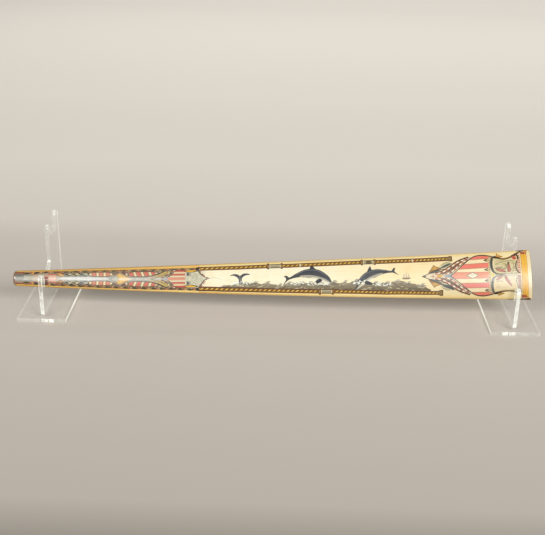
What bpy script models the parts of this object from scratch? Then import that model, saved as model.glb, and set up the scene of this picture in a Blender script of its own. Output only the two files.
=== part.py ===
"""A scrimshaw swordfish bill held up by two clear acrylic display stands.

Metres, +Z up. The bill runs along X with its tip at -X, and leans back towards +Y in the
stands' lower seats. The origin is on the surface that the stands stand on, under the middle
of the whole object.
"""

import math

import bmesh
import bpy
from mathutils import Vector

# The bill. Lengths are along X, widths across its painted face.
BILL_LENGTH = 0.8068
TIP_WIDTH = 0.0235
BASE_WIDTH = 0.079
TIP_THICKNESS_SHARE = 0.40  # thickness of the oval section over its width
BASE_THICKNESS_SHARE = 0.25
WIDTH_GROWTH = ((0.0, 0.0), (0.25, 0.274), (0.5, 0.53), (0.75, 0.754), (0.9, 0.892), (1.0, 1.0))
BOW = 0.0026  # how far the middle hangs below the line through both seats
TIP_ROUNDING = 0.005
TIP_FLAT_SHARE = 0.62  # width of the blunt end over the width behind the rounding
TIP_SQUARENESS = 2.5  # 2 rounds the tip's corners as a circle, more makes them fuller
SAWN_EDGE = 0.0006  # small chamfer round the sawn base end
LEAN = math.radians(33)  # from upright, towards +Y
SECTION_POINTS = 44
STATIONS = 42

# The stands
TIP_OVERHANG = 0.0475  # of the bill past the left stand's middle
BASE_OVERHANG = 0.0239  # of the bill past the right stand's middle
SHEET = 0.00635  # thickness of the clear sheet
PLATE_WIDTH = 0.0762
PLATE_MARGIN = 0.0127  # of the base plate in front of the upright and behind it
FINGER_DEPTH = 0.0159
SEAT_HEIGHT = 0.0365  # of the seat's low front corner above the upright's foot
SEAT_SLOPE = math.radians(30)  # the seat rises towards the middle finger
PRONG_REACH = 0.0278  # of the front prong above the seat's low corner
FINGER_REACH = 0.0184  # of the middle finger above the bill's upper edge
REAR_RISE = 0.0055  # of the rear finger above the middle one
NOTCH_WIDTH = 0.034
NOTCH_DEPTH = 0.024
SEAT_FRONT_RADIUS = 0.003
SEAT_REAR_RADIUS = 0.008
NOTCH_RADIUS = 0.009
POLISHED_EDGE = 0.0004
GAP = 0.0003  # left between pieces that touch

# Places along X, from the middle between the stands.
STAND_SPACING = BILL_LENGTH - TIP_OVERHANG - BASE_OVERHANG
LEFT_STAND_X = -STAND_SPACING / 2
RIGHT_STAND_X = STAND_SPACING / 2
TIP_X = LEFT_STAND_X - TIP_OVERHANG
FOOT_Z = SHEET + GAP  # of the uprights, on their base plates

# The bill's own directions as (y, z): up its face, and out of its painted side.
UP_FACE = Vector((math.sin(LEAN), math.cos(LEAN)))
OUT_OF_FACE = Vector((-math.cos(LEAN), math.sin(LEAN)))


def smooth_through(points, x):
    """Value at x of a smooth curve through (x, y) points, with slopes from their neighbours."""
    last = len(points) - 1
    i = min(sum(1 for p in points[1:] if p[0] <= x), last - 1)

    def slope(k):
        a, b = points[max(k - 1, 0)], points[min(k + 1, last)]
        return (b[1] - a[1]) / (b[0] - a[0])

    (x0, y0), (x1, y1) = points[i], points[i + 1]
    span = x1 - x0
    t = (x - x0) / span
    return (
        (2 * t**3 - 3 * t**2 + 1) * y0
        + (t**3 - 2 * t**2 + t) * span * slope(i)
        + (3 * t**2 - 2 * t**3) * y1
        + (t**3 - t**2) * span * slope(i + 1)
    )


def bill_half_sizes(x):
    """Half the bill's width and half its thickness at x, before the tip is rounded."""
    share = (x - TIP_X) / BILL_LENGTH
    width = TIP_WIDTH + (BASE_WIDTH - TIP_WIDTH) * smooth_through(WIDTH_GROWTH, share)
    flatness = TIP_THICKNESS_SHARE + (BASE_THICKNESS_SHARE - TIP_THICKNESS_SHARE) * share
    return width / 2, width * flatness / 2


def reach(x, direction):
    """How far the oval section at x reaches from its middle along a (y, z) direction."""
    half_width, half_depth = bill_half_sizes(x)
    across, out = direction.dot(UP_FACE), direction.dot(OUT_OF_FACE)
    return math.hypot(half_width * across, half_depth * out)


def seat_the_bill():
    """Sets the bill in the seats: against the prong and the slope at the wide end, on the slope
    at the narrow end. Returns the section's middle at both stands as (y from the prong's
    front, z above the upright's foot), and where the middle finger's front must be."""
    wide_x = RIGHT_STAND_X + SHEET / 2
    narrow_x = LEFT_STAND_X + SHEET / 2
    rearward = Vector((1, 0))
    off_slope = Vector((-math.sin(SEAT_SLOPE), math.cos(SEAT_SLOPE)))
    slope_level = Vector((FINGER_DEPTH, SEAT_HEIGHT)).dot(off_slope) + GAP
    wide_y = FINGER_DEPTH + GAP + reach(wide_x, rearward)
    wide_z = (slope_level + reach(wide_x, off_slope) - off_slope.x * wide_y) / off_slope.y
    wide = Vector((wide_y, wide_z))
    fall = (wide.dot(off_slope) - slope_level - reach(narrow_x, off_slope)) / UP_FACE.dot(off_slope)
    narrow = wide - UP_FACE * fall
    return narrow, wide, wide_y + reach(wide_x, rearward) + GAP


NARROW_SEAT, WIDE_SEAT, MIDDLE_FINGER_FRONT = seat_the_bill()
MIDDLE_FINGER_BACK = MIDDLE_FINGER_FRONT + FINGER_DEPTH
REAR_FINGER_FRONT = MIDDLE_FINGER_BACK + NOTCH_WIDTH
UPRIGHT_DEPTH = REAR_FINGER_FRONT + FINGER_DEPTH
PRONG_HEIGHT = SEAT_HEIGHT + PRONG_REACH
UPPER_EDGE = WIDE_SEAT.y + reach(RIGHT_STAND_X, Vector((0, 1)))
MIDDLE_FINGER_HEIGHT = UPPER_EDGE + FINGER_REACH
REAR_FINGER_HEIGHT = MIDDLE_FINGER_HEIGHT + REAR_RISE
NOTCH_FLOOR = MIDDLE_FINGER_HEIGHT - NOTCH_DEPTH
FRONT_Y = -UPRIGHT_DEPTH / 2  # of the prongs' front faces


def bill_middle(x):
    """The middle of the bill's section at x."""
    share = (x - LEFT_STAND_X) / STAND_SPACING
    line = NARROW_SEAT.lerp(WIDE_SEAT, share)
    hang = BOW * 4 * share * (1 - share)
    middle = line - UP_FACE * hang
    return Vector((x, FRONT_Y + middle.x, FOOT_Z + middle.y))


def tip_fullness(x):
    """Share of the section's size that the rounding at the tip leaves."""
    behind = min((x - TIP_X) / TIP_ROUNDING, 1.0)
    curve = (1 - (1 - behind) ** TIP_SQUARENESS) ** (1 / TIP_SQUARENESS)
    return TIP_FLAT_SHARE + (1 - TIP_FLAT_SHARE) * curve


def bill_ring(x, inset=0.0):
    """Points round the oval section at x, square to the bill's middle line."""
    step = 0.001
    along = (bill_middle(x + step) - bill_middle(x - step)).normalized()
    out = Vector((0, OUT_OF_FACE.x, OUT_OF_FACE.y))
    across = out.cross(along)
    half_width, half_depth = bill_half_sizes(x)
    half_width = half_width * tip_fullness(x) - inset
    half_depth = half_depth * tip_fullness(x) - inset
    middle = bill_middle(x)
    ring = []
    for i in range(SECTION_POINTS):
        turn = 2 * math.pi * i / SECTION_POINTS
        ring.append(
            middle + across * (half_width * math.cos(turn)) + out * (half_depth * math.sin(turn))
        )
    return ring


def bill_stations():
    """Places along X of the bill's rings: close together in the rounded tip, even behind it."""
    rounded = [TIP_X + TIP_ROUNDING * share for share in (0.0, 0.08, 0.25, 0.5)]
    start = TIP_X + TIP_ROUNDING
    end = TIP_X + BILL_LENGTH - SAWN_EDGE
    even = [start + (end - start) * i / STATIONS for i in range(STATIONS + 1)]
    return rounded + even


def new_object(name, mesh, material):
    piece = bpy.data.objects.new(name, mesh)
    piece.data.materials.append(material)
    bpy.context.scene.collection.objects.link(piece)
    return piece


def make_bill(material):
    rings = [bill_ring(x) for x in bill_stations()]
    rings.append(bill_ring(TIP_X + BILL_LENGTH, SAWN_EDGE))
    bm = bmesh.new()
    loops = [[bm.verts.new(point) for point in ring] for ring in rings]
    for near, far in zip(loops, loops[1:]):
        for i in range(SECTION_POINTS):
            j = (i + 1) % SECTION_POINTS
            bm.faces.new((near[i], near[j], far[j], far[i]))
    bm.faces.new(reversed(loops[0]))
    bm.faces.new(loops[-1])
    bmesh.ops.recalc_face_normals(bm, faces=bm.faces)
    mesh = bpy.data.meshes.new("bill")
    bm.to_mesh(mesh)
    bm.free()
    mesh.shade_smooth()
    mesh.set_sharp_from_angle(angle=math.radians(40))
    return new_object("bill", mesh, material)


def rounded_outline(corners, steps=8):
    """Outline through ((y, z), radius) corners, each turned by an arc of its radius."""
    points = []
    for i, (corner, radius) in enumerate(corners):
        corner = Vector(corner)
        before = (Vector(corners[i - 1][0]) - corner).normalized()
        after = (Vector(corners[(i + 1) % len(corners)][0]) - corner).normalized()
        if radius == 0:
            points.append(corner)
            continue
        half = before.angle(after) / 2
        centre = corner + (before + after).normalized() * (radius / math.sin(half))
        start = corner + before * (radius / math.tan(half)) - centre
        end = corner + after * (radius / math.tan(half)) - centre
        for k in range(steps + 1):
            points.append(centre + start.slerp(end, k / steps) * radius)
    kept = [p for p, q in zip(points, points[1:] + points[:1]) if (p - q).length > 1e-5]
    return kept


def upright_outline():
    """The upright's profile as (y from its front, z above its foot)."""
    tip_radius = FINGER_DEPTH / 2
    seat_rear = SEAT_HEIGHT + (MIDDLE_FINGER_FRONT - FINGER_DEPTH) * math.tan(SEAT_SLOPE)
    return rounded_outline(
        [
            ((0, 0), 0),
            ((0, PRONG_HEIGHT), tip_radius),
            ((FINGER_DEPTH, PRONG_HEIGHT), tip_radius),
            ((FINGER_DEPTH, SEAT_HEIGHT), SEAT_FRONT_RADIUS),
            ((MIDDLE_FINGER_FRONT, seat_rear), SEAT_REAR_RADIUS),
            ((MIDDLE_FINGER_FRONT, MIDDLE_FINGER_HEIGHT), tip_radius),
            ((MIDDLE_FINGER_BACK, MIDDLE_FINGER_HEIGHT), tip_radius),
            ((MIDDLE_FINGER_BACK, NOTCH_FLOOR), NOTCH_RADIUS),
            ((REAR_FINGER_FRONT, NOTCH_FLOOR), NOTCH_RADIUS),
            ((REAR_FINGER_FRONT, REAR_FINGER_HEIGHT), tip_radius),
            ((UPRIGHT_DEPTH, REAR_FINGER_HEIGHT), tip_radius),
            ((UPRIGHT_DEPTH, 0), 0),
        ]
    )


def extruded(name, outline, thickness):
    """Mesh of a (y, z) outline drawn in the YZ plane and thickened evenly about X = 0."""
    bm = bmesh.new()
    face = bm.faces.new([bm.verts.new((-thickness / 2, y, z)) for y, z in outline])
    pushed = bmesh.ops.extrude_face_region(bm, geom=[face])["geom"]
    moved = [v for v in pushed if isinstance(v, bmesh.types.BMVert)]
    bmesh.ops.translate(bm, verts=moved, vec=(thickness, 0, 0))
    bmesh.ops.recalc_face_normals(bm, faces=bm.faces)
    mesh = bpy.data.meshes.new(name)
    bm.to_mesh(mesh)
    bm.free()
    return mesh


def polish_edges(piece):
    """Small chamfer on the sheet's cut edges."""
    bevel = piece.modifiers.new("polished_edge", "BEVEL")
    bevel.width = POLISHED_EDGE
    bevel.segments = 1
    bevel.limit_method = "ANGLE"
    bevel.angle_limit = math.radians(60)


def make_stand(name, x, material):
    depth = UPRIGHT_DEPTH + 2 * PLATE_MARGIN
    plate = [(-depth / 2, 0), (depth / 2, 0), (depth / 2, SHEET), (-depth / 2, SHEET)]
    base = new_object(f"{name}_base", extruded(f"{name}_base", plate, PLATE_WIDTH), material)
    profile = extruded(f"{name}_upright", upright_outline(), SHEET)
    upright = new_object(f"{name}_upright", profile, material)
    base.location = (x, 0, 0)
    upright.location = (x, FRONT_Y, FOOT_Z)
    for piece in (base, upright):
        polish_edges(piece)


def make_material(name, colour, roughness, alpha=1.0, ior=1.5):
    material = bpy.data.materials.new(name)
    material.use_nodes = True
    shader = material.node_tree.nodes["Principled BSDF"]
    shader.inputs["Base Color"].default_value = (*colour, 1.0)
    shader.inputs["Roughness"].default_value = roughness
    shader.inputs["Metallic"].default_value = 0.0
    shader.inputs["IOR"].default_value = ior
    shader.inputs["Alpha"].default_value = alpha
    return material


def centre_along_x():
    """Moves all pieces so that the whole object is centred on X = 0."""
    pieces = bpy.context.scene.objects
    xs = [v.co.x + piece.location.x for piece in pieces for v in piece.data.vertices]
    middle = (min(xs) + max(xs)) / 2
    for piece in pieces:
        piece.location.x -= middle


def main():
    for old in list(bpy.data.objects):
        bpy.data.objects.remove(old)
    bone = make_material("polished_bill", (0.86, 0.76, 0.56), 0.25)
    acrylic = make_material("clear_acrylic", (0.93, 0.95, 0.93), 0.03, alpha=0.35, ior=1.49)
    make_bill(bone)
    make_stand("left_stand", LEFT_STAND_X, acrylic)
    make_stand("right_stand", RIGHT_STAND_X, acrylic)
    centre_along_x()


main()
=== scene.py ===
"""Looks of the scrimshaw swordfish bill on its two clear acrylic stands.

The bill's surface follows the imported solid. Its painting is drawn as flat shapes in the face's
own millimetres, x from the tip and v across from the middle line, upper edge positive. The
shapes are cut into one triangle mesh, so each painted area has its own true outline.
"""

import math
import random

import bpy
import numpy as np
from mathutils import Matrix, Vector
from mathutils.geometry import delaunay_2d_cdt


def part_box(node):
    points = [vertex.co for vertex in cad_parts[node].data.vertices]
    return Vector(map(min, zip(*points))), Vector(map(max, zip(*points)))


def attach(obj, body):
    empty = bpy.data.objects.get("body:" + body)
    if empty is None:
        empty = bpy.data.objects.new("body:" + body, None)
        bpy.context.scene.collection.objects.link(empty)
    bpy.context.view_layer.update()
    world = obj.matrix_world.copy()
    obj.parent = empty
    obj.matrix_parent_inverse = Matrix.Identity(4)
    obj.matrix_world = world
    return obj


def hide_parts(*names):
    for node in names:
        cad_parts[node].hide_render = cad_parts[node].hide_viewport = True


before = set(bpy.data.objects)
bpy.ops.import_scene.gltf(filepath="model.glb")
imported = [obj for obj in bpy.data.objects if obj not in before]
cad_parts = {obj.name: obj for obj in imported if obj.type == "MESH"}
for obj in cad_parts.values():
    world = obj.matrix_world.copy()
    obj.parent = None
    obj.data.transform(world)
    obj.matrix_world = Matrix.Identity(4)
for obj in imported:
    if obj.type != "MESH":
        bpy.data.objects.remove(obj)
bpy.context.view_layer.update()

# The photograph's camera, in the frame of the object.
CAMERA_PLACE = Vector((0.01013, -1.36783, 0.68861))
CAMERA_YAW = 0.0121
CAMERA_PITCH = math.radians(24.342)
CAMERA_ROLL = math.radians(1.3076)
SENSOR_WIDTH = 36.0
PHOTO_WIDTH = 545
FOCAL_PIXELS = 942.4

# The bill's own sizes, as in the solid.
BILL_LENGTH = 0.8068
TIP_WIDTH = 0.0235
BASE_WIDTH = 0.079
TIP_THICKNESS_SHARE = 0.40
BASE_THICKNESS_SHARE = 0.25
WIDTH_GROWTH = ((0.0, 0.0), (0.25, 0.274), (0.5, 0.53), (0.75, 0.754), (0.9, 0.892), (1.0, 1.0))
BOW = 0.0026
TIP_ROUNDING = 0.005
TIP_FLAT_SHARE = 0.62
TIP_SQUARENESS = 2.5
TIP_DOME = 0.0006
SAWN_EDGE = 0.0006
LEAN = math.radians(33)
TIP_OVERHANG = 0.0475

MM = 0.001
QUARTER = math.pi / 2
FACE_LENGTH = (BILL_LENGTH - SAWN_EDGE) / MM  # of the painted face, in its millimetres
UP_FACE = np.array((0.0, math.sin(LEAN), math.cos(LEAN)))
OUT_OF_FACE = np.array((0.0, -math.cos(LEAN), math.sin(LEAN)))

# Mesh of the bill: stretches of its length that each have their own strip of the UV map.
STRIPS = 4
STATIONS_PER_STRIP = 34
FRONT_STEPS = 24
BACK_STEPS = 18
LONGEST_EDGE = 2.5  # of a painted outline, in the face's millimetres
OVAL_CORNERS = 12

# Paint, as the photograph shows it.
CREAM = (254, 244, 211)
WARM_CREAM = (251, 231, 180)
GOLD = (208, 156, 64)
LIGHT_GOLD = (230, 184, 96)
EDGE_CREAM = (247, 222, 150)
SALMON = (206, 136, 112)
PINK = (226, 146, 112)
INK = (52, 46, 40)
MAROON = (122, 66, 48)
FOAM = (236, 238, 226)
FIELD = (206, 202, 173)
BARE = (240, 224, 182)
SAWN = (216, 196, 150)
BARE_TIP = (196, 170, 130)
PAINT_STRENGTH = 0.81  # of the tones as seen, which the photograph's light brightens
LOWER_PAINTED_SHADE = 0.14  # painted shade taken off the lower side of the wide end, from SHADE_START over SHADE_LENGTH
SHADE_START = 600
SHADE_LENGTH = 100
SHADE_REACH = 6  # from the middle line down to the full shade
GROUND_HATCHING = 0.06


def linear(colour):
    """Linear values of a colour given as the photograph's 0 to 255 ones."""
    share = np.asarray(colour, dtype=float) / 255
    return np.where(share <= 0.04045, share / 12.92, ((share + 0.055) / 1.055) ** 2.4)


def clamped(value):
    """The value, kept between 0 and 1."""
    return min(max(value, 0.0), 1.0)


def mixed(a, b, share):
    """A colour or a point on the way from a to b."""
    return tuple(p + (q - p) * share for p, q in zip(a, b))


def fade(x0, a, x1, b):
    """A fill that goes from colour a at x0 to colour b at x1."""
    return lambda x, v: mixed(a, b, clamped((x - x0) / (x1 - x0)))


def smooth_through(points, x):
    """Values at x of a smooth curve through (x, y) points, with slopes from their neighbours."""
    xs, ys = np.array(points, dtype=float).T
    last = len(xs) - 1
    low = np.maximum(np.arange(last + 1) - 1, 0)
    high = np.minimum(np.arange(last + 1) + 1, last)
    slopes = (ys[high] - ys[low]) / (xs[high] - xs[low])
    i = np.minimum(np.searchsorted(xs[1:], x, side="right"), last - 1)
    span = xs[i + 1] - xs[i]
    t = (x - xs[i]) / span
    return (
        (2 * t**3 - 3 * t**2 + 1) * ys[i]
        + (t**3 - 2 * t**2 + t) * span * slopes[i]
        + (3 * t**2 - 2 * t**3) * ys[i + 1]
        + (t**3 - t**2) * span * slopes[i + 1]
    )


def half_sizes(x):
    """Half the bill's width and half its thickness in metres, x millimetres from the tip."""
    share = np.asarray(x, dtype=float) * MM / BILL_LENGTH
    width = TIP_WIDTH + (BASE_WIDTH - TIP_WIDTH) * smooth_through(WIDTH_GROWTH, share)
    flatness = TIP_THICKNESS_SHARE + (BASE_THICKNESS_SHARE - TIP_THICKNESS_SHARE) * share
    behind = np.clip(np.asarray(x) * MM / TIP_ROUNDING, 0, 1)
    curve = (1 - (1 - behind) ** TIP_SQUARENESS) ** (1 / TIP_SQUARENESS)
    fullness = TIP_FLAT_SHARE + (1 - TIP_FLAT_SHARE) * curve
    return width * fullness / 2, width * flatness * fullness / 2


def edge(x):
    """Half the painted face's width in its millimetres."""
    return float(half_sizes(x)[0]) / MM


def stand_x(side):
    """Where a stand's upright has its middle, from the solid."""
    low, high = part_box(f"{side}_stand_upright")
    return (low[0] + high[0]) / 2


def section_middle(x):
    """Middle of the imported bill's section at x, from its solid."""
    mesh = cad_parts["bill"].data
    cuts = []
    for mesh_edge in mesh.edges:
        a, b = (np.array(mesh.vertices[i].co) for i in mesh_edge.vertices)
        if (a[0] - x) * (b[0] - x) < 0:
            cuts.append(a + (b - a) * (x - a[0]) / (b[0] - a[0]))
    cuts = np.array(cuts)
    up, out = cuts @ UP_FACE, cuts @ OUT_OF_FACE
    middle = UP_FACE * (up.min() + up.max()) / 2 + OUT_OF_FACE * (out.min() + out.max()) / 2
    middle[0] = x
    return middle


NARROW_SEAT = section_middle(stand_x("left"))
WIDE_SEAT = section_middle(stand_x("right"))
TIP_X = NARROW_SEAT[0] - TIP_OVERHANG


def bill_middle(x):
    """Middles of the bill's sections, x millimetres from the tip."""
    world_x = TIP_X + np.atleast_1d(x) * MM
    share = ((world_x - NARROW_SEAT[0]) / (WIDE_SEAT[0] - NARROW_SEAT[0]))[:, None]
    line = NARROW_SEAT + (WIDE_SEAT - NARROW_SEAT) * share
    return line - UP_FACE * BOW * 4 * share * (1 - share)


def surface(x, turn, inset=0.0):
    """Points on the bill x millimetres from the tip. The turn is 0 at the middle of the painted
    face, a quarter turn at the upper edge and half a turn at the middle of the back."""
    x, turn = np.broadcast_arrays(np.atleast_1d(x).astype(float), np.atleast_1d(turn).astype(float))
    along = bill_middle(x + 1) - bill_middle(x - 1)
    along /= np.linalg.norm(along, axis=1)[:, None]
    across = np.cross(OUT_OF_FACE, along)
    half_width, half_depth = half_sizes(x)
    sideways = across * ((half_width - inset) * np.sin(turn))[:, None]
    outward = OUT_OF_FACE * ((half_depth - inset) * np.cos(turn))[:, None]
    return bill_middle(x) + sideways + outward


def surface_normals(x, turn):
    """Directions that point straight out of the smooth surface."""
    x, turn = np.broadcast_arrays(np.atleast_1d(x).astype(float), np.atleast_1d(turn).astype(float))
    small = 0.05
    before, after = np.maximum(x - small, 0), x + small
    lengthwise = surface(after, turn) - surface(before, turn)
    around = surface(x, turn + 0.01) - surface(x, turn - 0.01)
    normals = np.cross(lengthwise, around)
    return normals / np.linalg.norm(normals, axis=1)[:, None]


def arc_length(x, turn):
    """Distance over the surface from the middle of the face, in millimetres."""
    half_width, half_depth = half_sizes(x)
    steps = np.linspace(0, 1, 17)[:, None] * turn
    speed = np.hypot(half_width * np.cos(steps), half_depth * np.sin(steps))
    return (speed[1:] + speed[:-1]).sum(axis=0) / 2 * turn / 16 / MM


def smooth(points, closed=False, step=1.5):
    """Points every step or so along a smooth curve through the given ones."""
    count = len(points)
    out = []
    for i in range(count if closed else count - 1):
        if closed:
            a, b, c, d = (points[(i + k) % count] for k in (-1, 0, 1, 2))
        else:
            a, b, c, d = (points[min(max(i + k, 0), count - 1)] for k in (-1, 0, 1, 2))
        parts = max(2, math.ceil(math.dist(b, c) / step))
        for k in range(parts):
            t = k / parts
            out.append(
                tuple(
                    0.5 * (2 * q + (r - p) * t + (2 * p - 5 * q + 4 * r - s) * t**2
                           + (3 * q - p - 3 * r + s) * t**3)
                    for p, q, r, s in zip(a, b, c, d)
                )
            )
    if not closed:
        out.append(tuple(points[-1]))
    return out


def offsets(points, distance):
    """The curve's points moved sideways, to its left where the distance is positive."""
    moved = []
    for i, (x, v) in enumerate(points):
        before, after = points[max(i - 1, 0)], points[min(i + 1, len(points) - 1)]
        dx, dv = after[0] - before[0], after[1] - before[1]
        size = math.hypot(dx, dv)
        away = distance[i] if isinstance(distance, list) else distance
        moved.append((x - dv / size * away, v + dx / size * away))
    return moved


def turned(points, x, v, slant):
    """Points given along and across a shape's own axis, with the shape moved to (x, v) and its
    axis turned up from the x direction by slant degrees."""
    cos, sin = math.cos(math.radians(slant)), math.sin(math.radians(slant))
    return [(x + a * cos - b * sin, v + a * sin + b * cos) for a, b in points]


def oval(x, v, length, width, slant=0.0):
    """Outline of an oval."""
    turns = [2 * math.pi * i / OVAL_CORNERS for i in range(OVAL_CORNERS)]
    points = [(length / 2 * math.cos(turn), width / 2 * math.sin(turn)) for turn in turns]
    return turned(points, x, v, slant)


def sliver(x, v, length, width, slant=0.0):
    """Outline of a spindle with pointed ends."""
    points = [(length / 2 * (1 - i / 3) * side, width / 2 * side * math.sin(math.pi * i / 6))
              for side in (1, -1) for i in range(6)]
    return turned(points, x, v, slant)


def crossed(outline):
    """Whether two opposite sides of a four-sided outline cross, as in a bow tie."""
    if len(outline) != 4:
        return False
    turns = [(q[0] - p[0]) * (r[1] - p[1]) - (q[1] - p[1]) * (r[0] - p[0])
             for p, q, r in zip(outline[-2:] + outline[:2], outline[-1:] + outline[:3], outline)]
    return sum(turn < 0 for turn in turns) == 2


class Painting:
    """Flat shapes on the bill's face, each over the ones before it."""

    def __init__(self):
        self.corners = []
        self.cells = []
        self.cell_shape = []
        self.fills = []
        self.inside = []
        self.hatching = []

    def shape(self, fill, inside, hatching):
        """A new shape's number. It shows only where the shape inside which it lies does."""
        self.fills.append(fill)
        self.inside.append(inside)
        self.hatching.append(hatching)
        return len(self.fills) - 1

    def cell(self, outline, number):
        """Adds one outline to a shape, with enough corners to follow the curved face."""
        area = sum(p[0] * q[1] - q[0] * p[1] for p, q in zip(outline, outline[1:] + outline[:1]))
        if abs(area) < 1e-3 or crossed(outline):
            return
        if area < 0:
            outline = outline[::-1]
        start = len(self.corners)
        for p, q in zip(outline, outline[1:] + outline[:1]):
            parts = max(1, math.ceil(math.dist(p, q) / LONGEST_EDGE))
            for k in range(parts):
                self.corners.append(mixed(p, q, k / parts))
        self.cells.append(list(range(start, len(self.corners))))
        self.cell_shape.append(number)

    def area(self, outline, fill, inside=None, hatching=0.0):
        """A shape with straight sides. Returns its number, for shapes kept inside it."""
        number = self.shape(fill, inside, hatching)
        self.cell(list(outline), number)
        return number

    def blob(self, points, fill, inside=None, hatching=0.0):
        """A shape with a smooth outline."""
        return self.area(smooth(points, closed=True), fill, inside, hatching)

    def band(self, left, right, fill, inside=None, hatching=0.0):
        """The stretch between two curves with as many points."""
        number = self.shape(fill, inside, hatching)
        for i in range(len(left) - 1):
            self.cell([left[i], left[i + 1], right[i + 1], right[i]], number)
        return number

    def stroke(self, path, width, fill, inside=None, hatching=0.0):
        """A line from point to point. The width is one number, or the ones at its start and end."""
        first, last = width if isinstance(width, tuple) else (width, width)
        half = [(first + (last - first) * i / (len(path) - 1)) / 2 for i in range(len(path))]
        left = offsets(path, half)
        right = offsets(path, [-h for h in half])
        return self.band(left, right, fill, inside, hatching)

    def line(self, points, width, fill, inside=None, hatching=0.0):
        """A stroke along a smooth curve."""
        return self.stroke(smooth(points), width, fill, inside, hatching)


AXIS = ((0, 0.3), (110, -0.6), (200, -1.3), (250, -0.9), (300, -0.3), (640, -0.9), (720, -0.3), (807, 0))


def on_lines(points, x):
    """The value at x on straight lines through (x, value) points."""
    return float(np.interp(x, *zip(*points)))


def axis(x):
    """The middle line of the painted ornament, which wanders a little."""
    return on_lines(AXIS, x)


def halved(points, side):
    """Points given as (x, distance from the ornament's middle line), on one side of it."""
    return [(x, axis(x) + side * w) for x, w in points]


class Flank:
    """Draws on one side of the ornament's middle line, at distances from it."""

    def __init__(self, art, side):
        self.art = art
        self.side = side

    def area(self, points, *look, **more):
        return self.art.area(halved(points, self.side), *look, **more)

    def blob(self, points, *look, **more):
        return self.art.blob(halved(points, self.side), *look, **more)

    def stroke(self, points, *look, **more):
        return self.art.stroke(halved(points, self.side), *look, **more)

    def line(self, points, *look, **more):
        return self.art.line(halved(points, self.side), *look, **more)

    def oval(self, x, w, length, width, fill):
        return self.art.area(oval(x, axis(x) + self.side * w, length, width), fill)


def flanks(art):
    """Both sides, the upper one first, each with what draws on it."""
    return [(side, Flank(art, side)) for side in (1, -1)]


GROUND_TONES = (
    (0, (120, 114, 98)), (30, (162, 154, 136)), (60, (180, 168, 150)), (110, (196, 196, 184)),
    (190, (186, 182, 166)), (290, (206, 200, 172)), (303, CREAM), (460, CREAM), (610, WARM_CREAM),
    (807, (240, 222, 176)))


def ground_fill(x, v):
    """The ground under the ornament: grey-cream with darker sides along the narrow part, then
    warmer cream."""
    middle = tuple(on_lines([(place, tone[k]) for place, tone in GROUND_TONES], x) for k in range(3))
    sides = clamped((abs(v - axis(x)) - 2.4) / 1.6) * clamped((270 - x) / 30)
    return mixed(middle, (172, 160, 130), 0.75 * sides)


def inset(x, side):
    """How far the checked border lies inside its usual place."""
    depths = (0.2, 0.8, 1.9, 2.3, 3.0, 3.3) if side == 1 else (0, -0.3, -0.5, -0.4, 0.4, 0.8)
    return float(np.interp(x, (20, 100, 160, 190, 250, 280), depths))


def beside_edge(xs, side, depth, follow=0.0):
    """Points at a depth inside the face's edge. They follow the checked border in by a share."""
    return [(x, side * (edge(x) - depth - inset(x, side) * follow)) for x in xs]


def paint_edges(art):
    """The gold lines along both edges, and the paler edge beside the ropes."""
    narrow = [5 + i * 5 for i in range(58)]
    wide = [290 + i * 10 for i in range(50)] + [789]
    # Partly painted light: the gold is lightened on the upper side by its glow share, and on both sides
    # towards x 290, to make up for the shade on the rounded edges. The rest is the gold's own tone.
    for side, glow, core_depth, gold, light_gold in (
            (1, 0.3, 1.7, (206, 162, 84), (246, 202, 116)),
            (-1, 0.0, 0.9, (238, 194, 108), (255, 226, 144))):
        outer, inner = beside_edge(narrow, side, 0.0), beside_edge(narrow, side, 2.9, 1.0)
        art.band(outer, inner, fade(20, mixed(GOLD, LIGHT_GOLD, glow), 290, gold))
        core, rim = beside_edge(narrow, side, core_depth), beside_edge(narrow, side, 2.3, 0.8)
        art.band(core, rim, fade(20, mixed(GOLD, LIGHT_GOLD, 0.7), 290, light_gold))
        outer = beside_edge(wide, side, 0.0)
        art.band(outer, beside_edge(wide, side, 5.2), fade(300, EDGE_CREAM, 780, (250, 226, 165)))
        art.band(outer, beside_edge(wide, side, 2.0), fade(290, (232, 182, 92), 500, (246, 214, 142)))
        if side == 1:
            line = beside_edge(wide, side, 0.5)
            art.band(outer[24:], line[24:], fade(530, (246, 214, 142), 580, (244, 204, 92)))


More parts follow.
